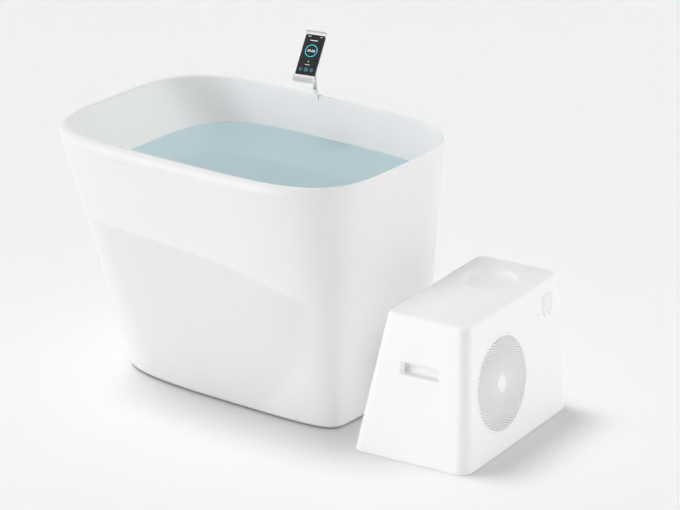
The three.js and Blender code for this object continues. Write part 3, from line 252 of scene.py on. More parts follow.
def mark_edges(mesh, degrees):
    """Smooth shading, broken at edges sharper than an angle."""
    limit = math.radians(degrees)
    with edited(mesh) as bm:
        for face in bm.faces:
            face.smooth = True
        for edge in bm.edges:
            edge.smooth = len(edge.link_faces) == 2 and edge.calc_face_angle(0) < limit


def repair(obj):
    """Turns a closed mesh's faces outwards."""
    with edited(obj.data) as bm:
        bmesh.ops.recalc_face_normals(bm, faces=bm.faces)


def make(name, shape, material, degrees=35, weld=True):
    """A new mesh object at the origin from a shape in millimetres."""
    mesh = bpy.data.meshes.new(name)
    verts, faces = shape
    mesh.from_pydata([tuple(Vector(v) * MM) for v in verts], [], faces)
    if weld:
        with edited(mesh) as bm:
            bmesh.ops.remove_doubles(bm, verts=bm.verts, dist=1e-6)
    mark_edges(mesh, degrees)
    mesh.materials.append(material)
    obj = bpy.data.objects.new(name, mesh)
    bpy.context.collection.objects.link(obj)
    return obj


def metre_frame(matrix):
    """A frame given in millimetres, for a mesh that is already in metres."""
    place = matrix.copy()
    place.translation = place.translation * MM
    return place


def settle(obj, body, nodes=()):
    """Rides a finished piece on its body and the solids it stands for."""
    if nodes:
        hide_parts(*nodes)
    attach(obj, body)
    return obj


def bevelled(obj, width, segments=3):
    modifier = obj.modifiers.new("Soft edges", "BEVEL")
    modifier.width = width * MM
    modifier.segments = segments
    modifier.limit_method = "ANGLE"
    modifier.angle_limit = math.radians(40)
    return obj


def frozen(obj):
    """Turns an object's evaluated modifiers into a plain mesh."""
    graph = bpy.context.evaluated_depsgraph_get()
    mesh = bpy.data.meshes.new_from_object(obj.evaluated_get(graph))
    old = obj.data
    obj.modifiers.clear()
    obj.data = mesh
    bpy.data.meshes.remove(old)
    return obj


def carve(obj, *cutters):
    """Cuts closed shapes, given in millimetres, out of an object."""
    for k, shape in enumerate(cutters):
        tool = make(f"{obj.name}_tool_{k}", shape, obj.data.materials[0])
        modifier = obj.modifiers.new("Cut", "BOOLEAN")
        modifier.operation = "DIFFERENCE"
        modifier.solver = "EXACT"
        modifier.object = tool
        frozen(obj)
        bpy.data.objects.remove(tool)
    mark_edges(obj.data, 30)
    return obj


# Materials


def add(tree, kind, links=None, **settings):
    """Adds one node with its settings, and links other nodes' sockets to its inputs."""
    node = tree.nodes.new(kind)
    for key, value in settings.items():
        if hasattr(node, key):
            setattr(node, key, value)
        else:
            node.inputs[key.replace("_", " ")].default_value = value
    for key, socket in (links or {}).items():
        tree.links.new(socket, node.inputs[key])
    return node


def blank(name):
    """An empty node material with its output and shader."""
    material = bpy.data.materials.get(name)
    if material:
        return material, None, None
    material = bpy.data.materials.new(name)
    material.use_nodes = True
    tree = material.node_tree
    tree.nodes.clear()
    shader = add(tree, "ShaderNodeBsdfPrincipled")
    add(tree, "ShaderNodeOutputMaterial", {"Surface": shader.outputs["BSDF"]})
    return material, tree, shader


# A Mix node's two colour inputs and its colour output.
FIRST_TINT = 6
SECOND_TINT = 7
MIXED_TINT = 2


def surface(
    name, tint, other, *, roughness, spread, grain_mm, bump, metallic=0.0, ior=1.5, coat=0.0, shade_mask=""
):
    """A surface whose colour drifts between two tints and whose grain shows in its gloss and its bump.

    With a shade mask, the named attribute paints shade: it takes the colour to the second tint in place of
    the drift."""
    material, tree, shader = blank(name)
    if tree is None:
        return material
    shader.inputs["Metallic"].default_value = metallic
    if not metallic:
        shader.inputs["IOR"].default_value = ior
    shader.inputs["Coat Weight"].default_value = coat
    shader.inputs["Coat Roughness"].default_value = 0.08
    place = add(tree, "ShaderNodeTexCoord").outputs["Object"]
    drift = add(tree, "ShaderNodeTexNoise", {"Vector": place}, Scale=6.0, Detail=3.0)
    grain = add(tree, "ShaderNodeTexNoise", {"Vector": place}, Scale=1 / (grain_mm * MM), Detail=4.0)
    # A shade mask paints shade: its attribute takes the colour to the second tint.
    factor = add(tree, "ShaderNodeAttribute", attribute_name=shade_mask) if shade_mask else drift
    blend = add(tree, "ShaderNodeMix", {"Factor": factor.outputs["Fac"]}, data_type="RGBA")
    blend.inputs[FIRST_TINT].default_value = (*tint, 1)
    blend.inputs[SECOND_TINT].default_value = (*other, 1)
    gloss = add(
        tree,
        "ShaderNodeMapRange",
        {"Value": grain.outputs["Fac"]},
        To_Min=max(roughness - spread, 0.02),
        To_Max=roughness + spread,
    )
    height = add(
        tree, "ShaderNodeBump", {"Height": grain.outputs["Fac"]}, Strength=bump, Distance=grain_mm * MM / 2
    )
    tree.links.new(blend.outputs[MIXED_TINT], shader.inputs["Base Color"])
    tree.links.new(gloss.outputs["Result"], shader.inputs["Roughness"])
    tree.links.new(height.outputs["Normal"], shader.inputs["Normal"])
    return material


def shade(tint, amount):
    return tuple(c * amount for c in tint)


def gelcoat():
    """Sprayed and polished gelcoat: a soft sheen with faint orange peel, and painted shade over the recess.
    """
    tint = bpy.context.scene.plunge_tub.shell_colour
    grain = {"roughness": 0.36, "spread": 0.04, "grain_mm": 5.0, "bump": 0.05}
    # The recess attribute is painted shade: it darkens the gelcoat to 0.93 of its tint over the recess.
    return surface("polished_gelcoat", tint, shade(tint, 0.93), shade_mask="recess", **grain)


def acrylic():
    """Vacuum-formed acrylic: smooth, with a soft sheen and slow waves in place of grain."""
    tint = bpy.context.scene.plunge_tub.basin_colour
    grain = {"roughness": 0.4, "spread": 0.02, "grain_mm": 60.0, "bump": 0.01}
    return surface("formed_acrylic", tint, shade(tint, 0.985), ior=1.49, **grain)


def casing_abs():
    """Moulded ABS with a fine spark texture: matt, with a tiny sparkle of grain. Drawn at 1.6 mm to show."""
    tint = bpy.context.scene.plunge_chiller.casing_colour
    grain = {"roughness": 0.5, "spread": 0.06, "grain_mm": 1.6, "bump": 0.08}
    return surface("textured_abs", tint, shade(tint, 0.985), **grain)


def gloss_abs(name="gloss_abs", code="#F4F4F4"):
    """Moulded ABS from a polished tool: clean, with low grain."""
    tint = linear(code)
    grain = {"roughness": 0.34, "spread": 0.05, "grain_mm": 2.5, "bump": 0.04}
    return surface(name, tint, shade(tint, 0.98), **grain)


def black_nylon():
    """Black glass-filled nylon: dark and matt, with a little mottling."""
    grain = {"roughness": 0.52, "spread": 0.08, "grain_mm": 1.2, "bump": 0.1}
    return surface("black_nylon", linear("#1C1D1F"), linear("#26272A"), **grain)


def grey_pvc():
    """Injection-moulded grey PVC pipe fitting: an even satin."""
    grain = {"roughness": 0.42, "spread": 0.06, "grain_mm": 2.0, "bump": 0.06}
    return surface("grey_pvc", linear("#8D9194"), linear("#82868A"), **grain)


def black_rubber():
    """Moulded rubber: deep and dull, with a dusty bloom."""
    grain = {"roughness": 0.85, "spread": 0.08, "grain_mm": 1.5, "bump": 0.2}
    return surface("moulded_rubber", linear("#1F2022"), linear("#2B2C2E"), **grain)


def silicone():
    """Moulded silicone pads: soft, grey and dull."""
    grain = {"roughness": 0.75, "spread": 0.08, "grain_mm": 1.5, "bump": 0.15}
    return surface("silicone_pad", linear("#9A9C9E"), linear("#8E9092"), **grain)


def chrome_plate():
    """Polished chrome plate: mirror bright, with hair-fine wipe marks in its gloss."""
    grain = {"roughness": 0.08, "spread": 0.03, "grain_mm": 0.8, "bump": 0.02}
    return surface("chrome_plate", linear("#D6D8DA"), linear("#CBCED1"), metallic=1.0, **grain)


def zinc_sheet():
    """Zinc-plated sheet: bright and grey with a soft spangle."""
    grain = {"roughness": 0.4, "spread": 0.12, "grain_mm": 6.0, "bump": 0.05}
    return surface("zinc_sheet", linear("#AEB2B5"), linear("#9DA2A6"), metallic=1.0, **grain)


def satin_enamel():
    """Sprayed satin enamel on steel: dark, with a low sheen."""
    grain = {"roughness": 0.38, "spread": 0.06, "grain_mm": 2.0, "bump": 0.1}
    return surface("satin_enamel", linear("#26282A"), linear("#303336"), **grain)


def stamped_fins():
    """Stamped aluminium fins 2 mm apart, drawn as a fine wave along the core: bright fin edges with dark
    bands of painted shade between them.
    """
    material, tree, shader = blank("stamped_fins")
    if tree is None:
        return material
    spacing = 2 * MM
    bands_per_scale = 10 / math.pi
    shader.inputs["Metallic"].default_value = 1.0
    shader.inputs["Roughness"].default_value = 0.42
    place = add(tree, "ShaderNodeTexCoord").outputs["Object"]
    scale = 1 / bands_per_scale / spacing
    fins_and_gap_shade = add(tree, "ShaderNodeTexWave", {"Vector": place}, bands_direction="Y", Scale=scale)
    blend = add(tree, "ShaderNodeMix", {"Factor": fins_and_gap_shade.outputs["Fac"]}, data_type="RGBA")
    # The dark tint is painted shade in the gaps between the fins; the light tint is the fins' own aluminium.
    blend.inputs[FIRST_TINT].default_value = (*linear("#6E7275"), 1)
    blend.inputs[SECOND_TINT].default_value = (*linear("#C6C9CB"), 1)
    tree.links.new(blend.outputs[MIXED_TINT], shader.inputs["Base Color"])
    return material


def drawn_copper():
    """Drawn copper: warm and bright, dulled in patches by handling."""
    grain = {"roughness": 0.3, "spread": 0.1, "grain_mm": 12.0, "bump": 0.04}
    return surface("drawn_copper", linear("#B87346"), linear("#9A5C36"), metallic=1.0, **grain)


def machined_brass():
    """Machined brass with a satin turned finish."""
    grain = {"roughness": 0.32, "spread": 0.08, "grain_mm": 1.5, "bump": 0.06}
    return surface("machined_brass", linear("#B59A55"), linear("#A58A48"), metallic=1.0, **grain)


def rigid_foam():
    """Rigid polyurethane foam with open cells on its cut faces."""
    grain = {"roughness": 0.95, "spread": 0.04, "grain_mm": 2.5, "bump": 0.4}
    return surface("rigid_foam", linear("#E6D9A8"), linear("#D6C68E"), **grain)


def pleated_paper():
    """Pleated filter paper: dry, fibrous and off-white."""
    grain = {"roughness": 0.9, "spread": 0.06, "grain_mm": 0.8, "bump": 0.2}
    return surface("pleated_paper", linear("#E9E6DC"), linear("#DDD8C8"), **grain)


def cover_glass():
    """Strengthened cover glass over a dark display: black and mirror smooth."""
    grain = {"roughness": 0.06, "spread": 0.02, "grain_mm": 20.0, "bump": 0.0}
    return surface("cover_glass", linear("#0E1013"), linear("#121519"), ior=1.52, coat=0.5, **grain)


def lit(name, tint, glow):
    """A lit patch of a display or a lens, with a faint grain of cells."""
    material, tree, shader = blank(name)
    if tree is None:
        return material
    place = add(tree, "ShaderNodeTexCoord").outputs["Object"]
    cells = add(tree, "ShaderNodeTexNoise", {"Vector": place}, Scale=900.0)
    blend = add(tree, "ShaderNodeMix", {"Factor": cells.outputs["Fac"]}, data_type="RGBA")
    blend.inputs[FIRST_TINT].default_value = (*tint, 1)
    blend.inputs[SECOND_TINT].default_value = (*shade(tint, 0.9), 1)
    tree.links.new(blend.outputs[MIXED_TINT], shader.inputs["Base Color"])
    tree.links.new(blend.outputs[MIXED_TINT], shader.inputs["Emission Color"])
    shader.inputs["Emission Strength"].default_value = glow
    shader.inputs["Roughness"].default_value = 0.3
    return material


def water_body():
    """Still, clean water with a faint cool tint and slow ripples about 60 mm apart."""
    material, tree, shader = blank("cool_water")
    if tree is None:
        return material
    ripple = 60 * MM
    shader.inputs["Base Color"].default_value = (*bpy.context.scene.plunge_tub.water_colour, 1)
    shader.inputs["Roughness"].default_value = 0.03
    shader.inputs["IOR"].default_value = 1.33
    shader.inputs["Transmission Weight"].default_value = 0.3
    place = add(tree, "ShaderNodeTexCoord").outputs["Object"]
    ripples = add(tree, "ShaderNodeTexNoise", {"Vector": place}, Scale=1 / ripple, Detail=1.0)
    bump = add(tree, "ShaderNodeBump", {"Height": ripples.outputs["Fac"]}, Strength=0.02, Distance=4 * MM)
    tree.links.new(bump.outputs["Normal"], shader.inputs["Normal"])
    return material


# Tub


def oval(angle, half_long, half_wide, powers):
    c, s = math.cos(angle), math.sin(angle)
    x = half_long * math.copysign(abs(c) ** (2 / powers[0]), c)
    y = half_wide * math.copysign(abs(s) ** (2 / powers[1]), s)
    return x, y


class TubForm:
    """The tub's wall and basin as rings of points, in millimetres, from the same sizes as the solids."""

    pad = 3.0
    foot_round = 16.0
    skin = 5.0
    seam = 0.3
    roll = 45.0
    roll_start = math.radians(18)
    crown_round = 5.0
    rim_powers = (4, 4)
    floor_back_powers = (2.6, 6)
    floor_foot_powers = (4, 16)
    # The swept recess: its edge drops towards the foot end, and its depth fades at both ends.
    recess_top = 556.0
    recess_step = 8.0
    recess_start = -300.0
    recess_run = 800.0
    recess_drop = 112.0
    recess_bend = 2.7
    head_fade = (-450.0, -330.0)
    depth_fade = (-100.0, 520.0)
    # The painted shade over the recess: a leaf that draws back towards the floor at the foot end.
    leaf_lip = 1.0
    leaf_reach = 490.0
    leaf_draw = 240.0
    leaf_height = 330.0
    leaf_bend = 1.6
    leaf_blur = (-70.0, 20.0)
    # The bath, with its gaps from the wall at the back, the sides and the foot.
    shoulder_z = 715.0
    shoulder_gaps = (147.0, 34.0, 40.0)
    seat_z = 500.0
    seat_round = 30.0
    seat_gaps = (147.0, 60.0, 33.0)
    # The footwell under the seat.
    well_front = 215.0
    well_slope = 29.0
    well_side = 140.0
    well_foot = 69.0
    well_floor = 110.0
    well_round = 18.0
    wet_brow = 14.0
    dry_brow = 4.0
    # How many rows each stretch has.
    wall_rows = 12
    edge_rows = 6
    roll_rows = 14
    clip_rows = 16
    brow_rows = 5

    def __init__(self, props):
        self.rim = (props.rim_half_length / MM, props.rim_half_width / MM)
        self.rim_shift = props.rim_shift / MM
        self.base = (props.floor_half_length / MM, props.floor_half_width / MM)
        self.shift = props.floor_shift / MM
        self.crown = (props.crown_half_length / MM, props.crown_half_width / MM)
        self.crown_shift = props.crown_shift / MM
        self.rim_z = props.rim_height / MM
        self.depth = props.recess_depth / MM
        self.roll_z = self.rim_z - self.roll
        self.angles = self.even_angles()

    def wall(self, angle, z, inset):
        powers = self.floor_back_powers if math.cos(angle) < 0 else self.floor_foot_powers
        low = oval(angle, self.base[0] - inset, self.base[1] - inset, powers)
        high = oval(angle, self.rim[0] - inset, self.rim[1] - inset, self.rim_powers)
        t = z / self.rim_z
        return mix(low[0] + self.shift, high[0] + self.rim_shift, t), mix(low[1], high[1], t), z

    def even_angles(self):
        """Angles that space the points evenly round the wall a little above half height."""
        fine = 7200
        z = self.rim_z * 0.6
        points = [self.wall(TURN * k / fine, z, 0) for k in range(fine + 1)]
        run = [0.0]
        for a, b in zip(points, points[1:]):
            run.append(run[-1] + math.dist(a, b))
        angles = []
        k = 0
        for j in range(WALL_POINTS):
            while run[k + 1] < run[-1] * j / WALL_POINTS:
                k += 1
            angles.append(TURN * k / fine)
        return angles

    def ring(self, z, inset):
        return [self.wall(a, z, inset) for a in self.angles]

    def back(self, z):
        return mix(self.shift - self.base[0], self.rim_shift - self.rim[0], z / self.rim_z)

    def foot(self, z):
        return mix(self.shift + self.base[0], self.rim_shift + self.rim[0], z / self.rim_z)

    def side(self, z):
        return mix(self.base[1], self.rim[1], z / self.rim_z)

    def recess(self, angle):
        """Height of the recess edge, how far the wall steps in under it, and the place along the tub."""
        x = self.wall(angle, self.recess_top, 0)[0]
        along = min(max((x - self.recess_start) / self.recess_run, 0), 1)
        fade = smoothstep(x, *self.head_fade) * (1 - smoothstep(x, *self.depth_fade))
        return self.recess_top - self.recess_drop * along**self.recess_bend, self.depth * fade, x

    def painted_recess_shade(self, angle, z):
        """How much painted shade a place on the wall has over the recess, from 0 to 1: a leaf with a soft
        foot end.
        """
        edge, _, x = self.recess(angle)
        below = (self.leaf_height - min(z, self.leaf_height)) / self.leaf_height
        reach = self.leaf_reach - self.leaf_draw * below**self.leaf_bend
        inside = 1 - smoothstep(z, edge - self.recess_step, edge - self.leaf_lip)
        end = 1 - smoothstep(x, reach + self.leaf_blur[0], reach + self.leaf_blur[1])
        return inside * smoothstep(x, *self.head_fade) * end

    def shell_rows(self, inset):
        """Rows of the shell from its floor up to the seam, each a (height, inset) pair for every angle."""
        centre = self.pad + self.foot_round
        radius = self.foot_round - inset
        rows = []
        for a in reversed(quarter(ARC_STEPS)):
            spot = (centre - radius * math.sin(a), self.foot_round - radius * math.cos(a))
            rows.append([spot] * len(self.angles))
        for t in shares(self.wall_rows):
            rows.append([self.under_edge(a, centre, t, inset) for a in self.angles])
        for t in shares(self.edge_rows):
            rows.append([self.over_edge(a, t, inset) for a in self.angles])
        top = self.roll_z - self.seam
        for t in shares(self.wall_rows):
            rows.append([(mix(self.recess(a)[0], top, t), inset) for a in self.angles])
        return rows

    def under_edge(self, angle, low, t, inset):
        edge, depth, _ = self.recess(angle)
        return mix(low, edge - self.recess_step, t), inset + depth * t

    def over_edge(self, angle, t, inset):
        edge, depth, _ = self.recess(angle)
        return edge - self.recess_step * (1 - t), inset + depth * (1 - smoothstep(t, 0, 1))

    def shell_rings(self, rows):
        return [[self.wall(a, z, inset) for a, (z, inset) in zip(self.angles, row)] for row in rows]

    def crown_ring(self, inset, z):
        ring = [oval(a, self.crown[0] - inset, self.crown[1] - inset, self.rim_powers) for a in self.angles]
        return [(x + self.crown_shift, y, z) for x, y in ring]

    def roll_ring(self, turn):
        """One ring of the roll, from the top of the wall at no turn to the crown at a quarter turn."""
        z = self.roll_z + self.roll * math.sin(turn)
        return between(self.ring(z, 0), self.crown_ring(0, z), 1 - math.cos(turn))

    def over_roll(self, offset):
        """The roll's section on a long side, moved out by an offset, from its middle up to the crown."""
        points = []
        for t in (0.0, *shares(self.clip_rows)):
            turn = mix(self.roll_start, QUARTER, t)
            rise = self.roll * math.sin(turn)
            out = self.side(self.roll_z + rise) - self.crown[1] + offset
            points.append((out * math.cos(turn), rise - self.roll + offset * math.sin(turn)))
        return points

    def rim_rings(self):
        """The wet side of the rim: the roll up to the crown and its crisp inner edge."""
        rows = [self.roll_ring(turn) for turn in quarter(self.roll_rows)]
        for a in quarter(self.edge_rows)[1:]:
            z = self.rim_z - self.crown_round * (1 - math.cos(a))
            rows.append(self.crown_ring(self.crown_round * math.sin(a), z))
        return rows

    def under_rim(self):
        """The dry side of the rim: a hollow halfway between the roll and the bath, then the seam."""
        outer = self.roll_ring(QUARTER / 3)
        edge = self.crown_ring(self.crown_round, self.rim_z - self.crown_round)
        share = (edge[0][2] - outer[0][2]) / (edge[0][2] - self.shoulder_z)
        bath = between(edge, self.level(self.shoulder_z, self.shoulder_gaps), share)
        return [between(outer, bath, 0.5), self.ring(self.roll_z, self.skin)]

    def level(self, z, gaps, grow=0.0):
        """One level of the basin, by its gaps from the wall at the back, the sides and the foot."""
        back, side, foot = gaps
        left = self.back(z) + back - grow
        right = self.foot(z) - foot + grow
        half = self.side(z) - side + grow
        middle = (left + right) / 2
        ring = [oval(a, (right - left) / 2, half, self.rim_powers) for a in self.angles]
        return [(middle + x, y, z) for x, y in ring]

    def bath_rings(self, grow):
        """Rows of the bath from its shoulder down to the seat."""
        shoulder = self.level(self.shoulder_z, self.shoulder_gaps, grow)
        centre = self.seat_z + self.seat_round
        radius = self.seat_round + grow
        seat = []
        for a in quarter(ARC_STEPS):
            inset = self.seat_round - radius * math.cos(a)
            seat.append(self.level(centre - radius * math.sin(a), [gap + inset for gap in self.seat_gaps]))
        return [shoulder, *(between(shoulder, seat[0], t) for t in shares(ARC_STEPS)[:-1]), *seat]

    def well_rings(self, grow, brow):
        """Rows of the footwell from its rounded brow down to its floor."""
        top = self.seat_z - grow
        centre = self.well_floor + self.well_round
        radius = self.well_round + grow
        rows = []
        for a in reversed(quarter(self.brow_rows)):
            inset = -brow * math.sin(a)
            rows.append(self.well_level(top - brow * (1 - math.sin(a)), inset - grow))
        for t in shares(self.brow_rows)[:-1]:
            rows.append(self.well_level(mix(top - brow, centre, t), -grow))
        for a in quarter(ARC_STEPS):
            inset = self.well_round - radius * math.cos(a)
            rows.append(self.well_level(centre - radius * math.sin(a), inset))
        return rows

    def well_level(self, z, inset):
        front = self.well_front + self.well_slope * (self.seat_z - z) / (self.seat_z - self.well_floor)
        return self.level(z, (front - self.back(z) + inset, self.well_side + inset, self.well_foot + inset))


def between(a, b, t):
    return [tuple(mix(p, q, t) for p, q in zip(u, v)) for u, v in zip(a, b)]


class PLUNGE_OT_tub_shell(bpy.types.Operator):
    """Builds the outer shell with its swept recess"""

    bl_idname = "plunge.tub_shell"
    bl_label = "Tub shell"

    def execute(self, context):
        form = TubForm(context.scene.plunge_tub)
        rows = form.shell_rows(0)
        rings = form.shell_rings(rows) + form.shell_rings(form.shell_rows(form.skin))[::-1]
        shell = make("tub_shell_skin", loft(rings), gelcoat(), 50, weld=False)
        # Painted shade over the recess, stored per point in the recess attribute for the gelcoat.
        recess_shade_attribute = shell.data.attributes.new("recess", "FLOAT", "POINT")
        for i, row in enumerate(rows):
            for j, (angle, (z, _)) in enumerate(zip(form.angles, row)):
                recess_shade_attribute.data[i * len(form.angles) + j].value = form.painted_recess_shade(angle, z)
        settle(shell, TUB, ["tub_shell"])
        return {"FINISHED"}


class PLUNGE_OT_basin(bpy.types.Operator):
    """Builds the basin with its soft rim, seat and footwell"""

    bl_idname = "plunge.basin"
    bl_label = "Basin"

    def execute(self, context):
        form = TubForm(context.scene.plunge_tub)
        wet = form.rim_rings() + form.bath_rings(0) + form.well_rings(0, form.wet_brow)
        dry = (form.bath_rings(form.skin) + form.well_rings(form.skin, form.dry_brow))[::-1]
        dry += form.under_rim()
        basin = make("inner_basin_skin", loft(dry + wet), acrylic(), 50)
        settle(basin, TUB, ["inner_basin", "footwell_liner"])
        return {"FINISHED"}


class PLUNGE_OT_water(bpy.types.Operator):
    """Fills the bath to its level"""

    bl_idname = "plunge.water"
    bl_label = "Water"

    def execute(self, context):
        props = context.scene.plunge_tub
        form = TubForm(props)
        overlap = 1.0
        rows = (form.bath_rings(overlap) + form.well_rings(overlap, form.wet_brow))[::-1]
        level = props.water_level / MM
        rows = [ring for ring in rows if ring[0][2] <= level + 0.01]
        water = make("water_fill", loft(rows), water_body(), 50)
        settle(water, TUB)
        return {"FINISHED"}


# Rim holder and handset

CAD_FACETS = 40
ALONG_X = Matrix.Rotation(QUARTER, 4, "Y")
UPRIGHT = Matrix.Rotation(QUARTER, 4, "X")
CLIP_GAP = 0.9
CLIP_TOP = CLIP_GAP + 4
BOSS_HEIGHT = 12
SWIVEL_GAP = 0.3
KNUCKLE = 136
HANDSET_LOW = -104.0
HANDSET_TOP = 50.0
HANDSET_MIDDLE = (HANDSET_LOW + HANDSET_TOP) / 2
PAD = 2.6
JAW_HALF = 38
JAW_FRONT = -33.4
JAW_LIP = 4
JAW_CATCH = 4
SLIDE_FRONT = -20.8


def far_rim(form, along):
    """The crown of the far rim, on the straight facets that the solids are drawn with."""
    turns = [TURN * j / CAD_FACETS for j in range(1, CAD_FACETS // 2)]
    ring = [oval(a, *form.crown, form.rim_powers) for a in turns]
    far = [(x + form.crown_shift, y) for x, y in ring]
    for a, b in zip(far, far[1:]):
        if b[0] <= along <= a[0]:
            t = (along - a[0]) / (b[0] - a[0])
            return Vector((along, mix(a[1], b[1], t), form.rim_z))
    raise ValueError("the clip isn't on the far rim")


def holder_frames(context):
    """Frames of the clip, the stem and the cradle, in millimetres."""
    props = context.scene.plunge_holder
    form = TubForm(context.scene.plunge_tub)
    clip = Matrix.Translation(far_rim(form, props.along / MM))
    stem = clip @ at(0, 0, CLIP_TOP + BOSS_HEIGHT + SWIVEL_GAP) @ Matrix.Rotation(props.yaw, 4, "Z")
    cradle = stem @ at(0, 0, KNUCKLE) @ Matrix.Rotation(-props.lean, 4, "X")
    return form, clip, stem, cradle


class PLUNGE_OT_rim_clip(bpy.types.Operator):
    """Builds the saddle clip on the lip and the stem that swivels in it"""

    bl_idname = "plunge.rim_clip"
    bl_label = "Rim clip and stem"

    def execute(self, context):
        form, clip, stem, _ = holder_frames(context)
        self.saddle(form, clip)
        self.boss(clip)
        self.post(stem)
        self.pin(stem)
        return {"FINISHED"}

    def saddle(self, form, clip):
        """A strip bent over the roll, with a leg down inside the bath."""
        half, low = 18, -14
        inner, outer = -12.5, -8.5
        leg = [(inner, CLIP_TOP), (inner, low), (outer, low), (outer, CLIP_GAP)]
        profile = form.over_roll(CLIP_TOP) + leg + form.over_roll(CLIP_GAP)[::-1]
        count = len(profile)
        verts, faces = loft([[(x, y, z) for y, z in profile] for x in (half, -half)])
        sides = [face for face in faces if max(face) < 2 * count]
        ends = [tuple(range(count))[::-1], tuple(range(count, 2 * count))]
        strip = (verts[: 2 * count], sides + ends)
        saddle = make("rim_clip_saddle", moved(strip, clip), gloss_abs(), 40)
        repair(saddle)
        settle(bevelled(saddle, 1.2), TUB, ["rim_clip"])

    def boss(self, clip):
        """A round boss on the saddle, bored for the stem."""
        low = CLIP_TOP - 2
        top = CLIP_TOP + BOSS_HEIGHT
        bore, seat = 4.4, top - 3
        profile = [(0, low), (10, low), (11, low + 0.6), (11, top - 1.5), (10.5, top - 0.4), (9.6, top)]
        profile += [(bore, top), (bore, seat), (0, seat)]
        boss = make("rim_clip_boss", moved(lathe(profile, 48), clip), gloss_abs(), 40)
        settle(boss, TUB)

    def post(self, stem):
        """A shaft that flares at its foot, with a barrel across its top."""
        profile = [(0, -2.5), (4, -2.5), (4, 0), (4.6, 0.1), (6.2, 1.0), (7.0, 2.6), (7.2, 4.2), (7.1, 8)]
        profile += [(6.6, 14), (5.8, 22), (5.0, 32), (4.4, 42), (4.2, 52), (4.2, 120), (4.6, 125)]
        profile += [(5.2, 129), (5.2, KNUCKLE), (0, KNUCKLE)]
        bore, radius, half, edge = 3.2, 8, 7, 0.8
        barrel = [(bore, -half), (radius - edge, -half), (radius, -half + edge)]
        barrel += [(r, -z) for r, z in barrel[::-1]]
        across = moved(lathe(barrel, 40, wrap=True), at(0, 0, KNUCKLE) @ ALONG_X)
        post = moved(joined(lathe(profile, 48), across), stem)
        post = make("holder_stem_chrome", post, chrome_plate(), 40)
        settle(post, "stem", ["holder_stem"])

    def pin(self, stem):
        """A pin with a flat head at each end."""
        reach = 13.3
        profile = [(0, -reach), (4.6, -reach), (5, -reach + 0.4), (5, -reach + 1.6), (3, -reach + 1.8)]
        profile += [(r, -z) for r, z in profile[::-1]]
        pin = moved(lathe(profile, 32), stem @ at(0, 0, KNUCKLE) @ ALONG_X)
        settle(make("tilt_pin_chrome", pin, chrome_plate(), 40), "stem", ["tilt_pin"])


class PLUNGE_OT_cradle(bpy.types.Operator):
    """Builds the cradle and its sprung upper jaw"""

    bl_idname = "plunge.cradle"
    bl_label = "Cradle and jaw"

    def execute(self, context):
        *_, cradle = holder_frames(context)
        body = self.moulding("cradle_moulding", self.body(), cradle)
        settle(body, "cradle", ["cradle"])
        jaw = self.moulding("upper_jaw_moulding", self.jaw(), cradle)
        settle(jaw, "jaw", ["upper_jaw"])
        return {"FINISHED"}

    def moulding(self, name, shapes, cradle):
        piece = make(name, moved(joined(*shapes), cradle), gloss_abs(), 40, weld=False)
        repair(piece)
        return bevelled(piece, 0.9)

    def body(self):
        """The back plate, the two slide guides, the two tilt ears, and the ledge with its lip."""
        plate_front, plate_back = -18, -14
        guide_in, guide_out, guide_top = 15.3, 33, 27
        ear_in, ear_out, ear_half = 7.4, 11.4, 10
        ledge_top = HANDSET_LOW - PAD
        ledge_low = ledge_top - 14
        place = at(0, 0, HANDSET_MIDDLE) @ UPRIGHT
        shapes = [moved(plate(2 * guide_out, 128, 10, -plate_back, -plate_front), place)]
        for side in (-1, 1):
            guide = sorted((side * guide_in, side * guide_out))
            shapes.append(block(*guide, SLIDE_FRONT, plate_front + 0.5, HANDSET_LOW, guide_top))
            ear = sorted((side * ear_in, side * ear_out))
            shapes.append(block(*ear, plate_back - 0.5, ear_half, -ear_half, ear_half))
        shapes.append(block(-JAW_HALF, JAW_HALF, JAW_FRONT, plate_back, ledge_low, ledge_top))
        lip = (-JAW_HALF, JAW_HALF, JAW_FRONT, JAW_FRONT + JAW_LIP)
        shapes.append(block(*lip, ledge_low, HANDSET_LOW + JAW_CATCH))
        shapes.append(block(-guide_out, guide_out, plate_front, plate_back, ledge_low, HANDSET_MIDDLE))
        return shapes

    def jaw(self):
        """The slide, the jaw across its top and the jaw's lip."""
        slide_half, slide_back, slide_length = 15, -18.3, 66
        low = HANDSET_TOP + PAD
        top = low + 7
        lip = (-JAW_HALF, JAW_HALF, JAW_FRONT, JAW_FRONT + JAW_LIP)
        return [
            block(-slide_half, slide_half, SLIDE_FRONT, slide_back, top - slide_length, top),
            block(-JAW_HALF, JAW_HALF, JAW_FRONT, slide_back, low, top),
            block(*lip, HANDSET_TOP - JAW_CATCH, top),
        ]


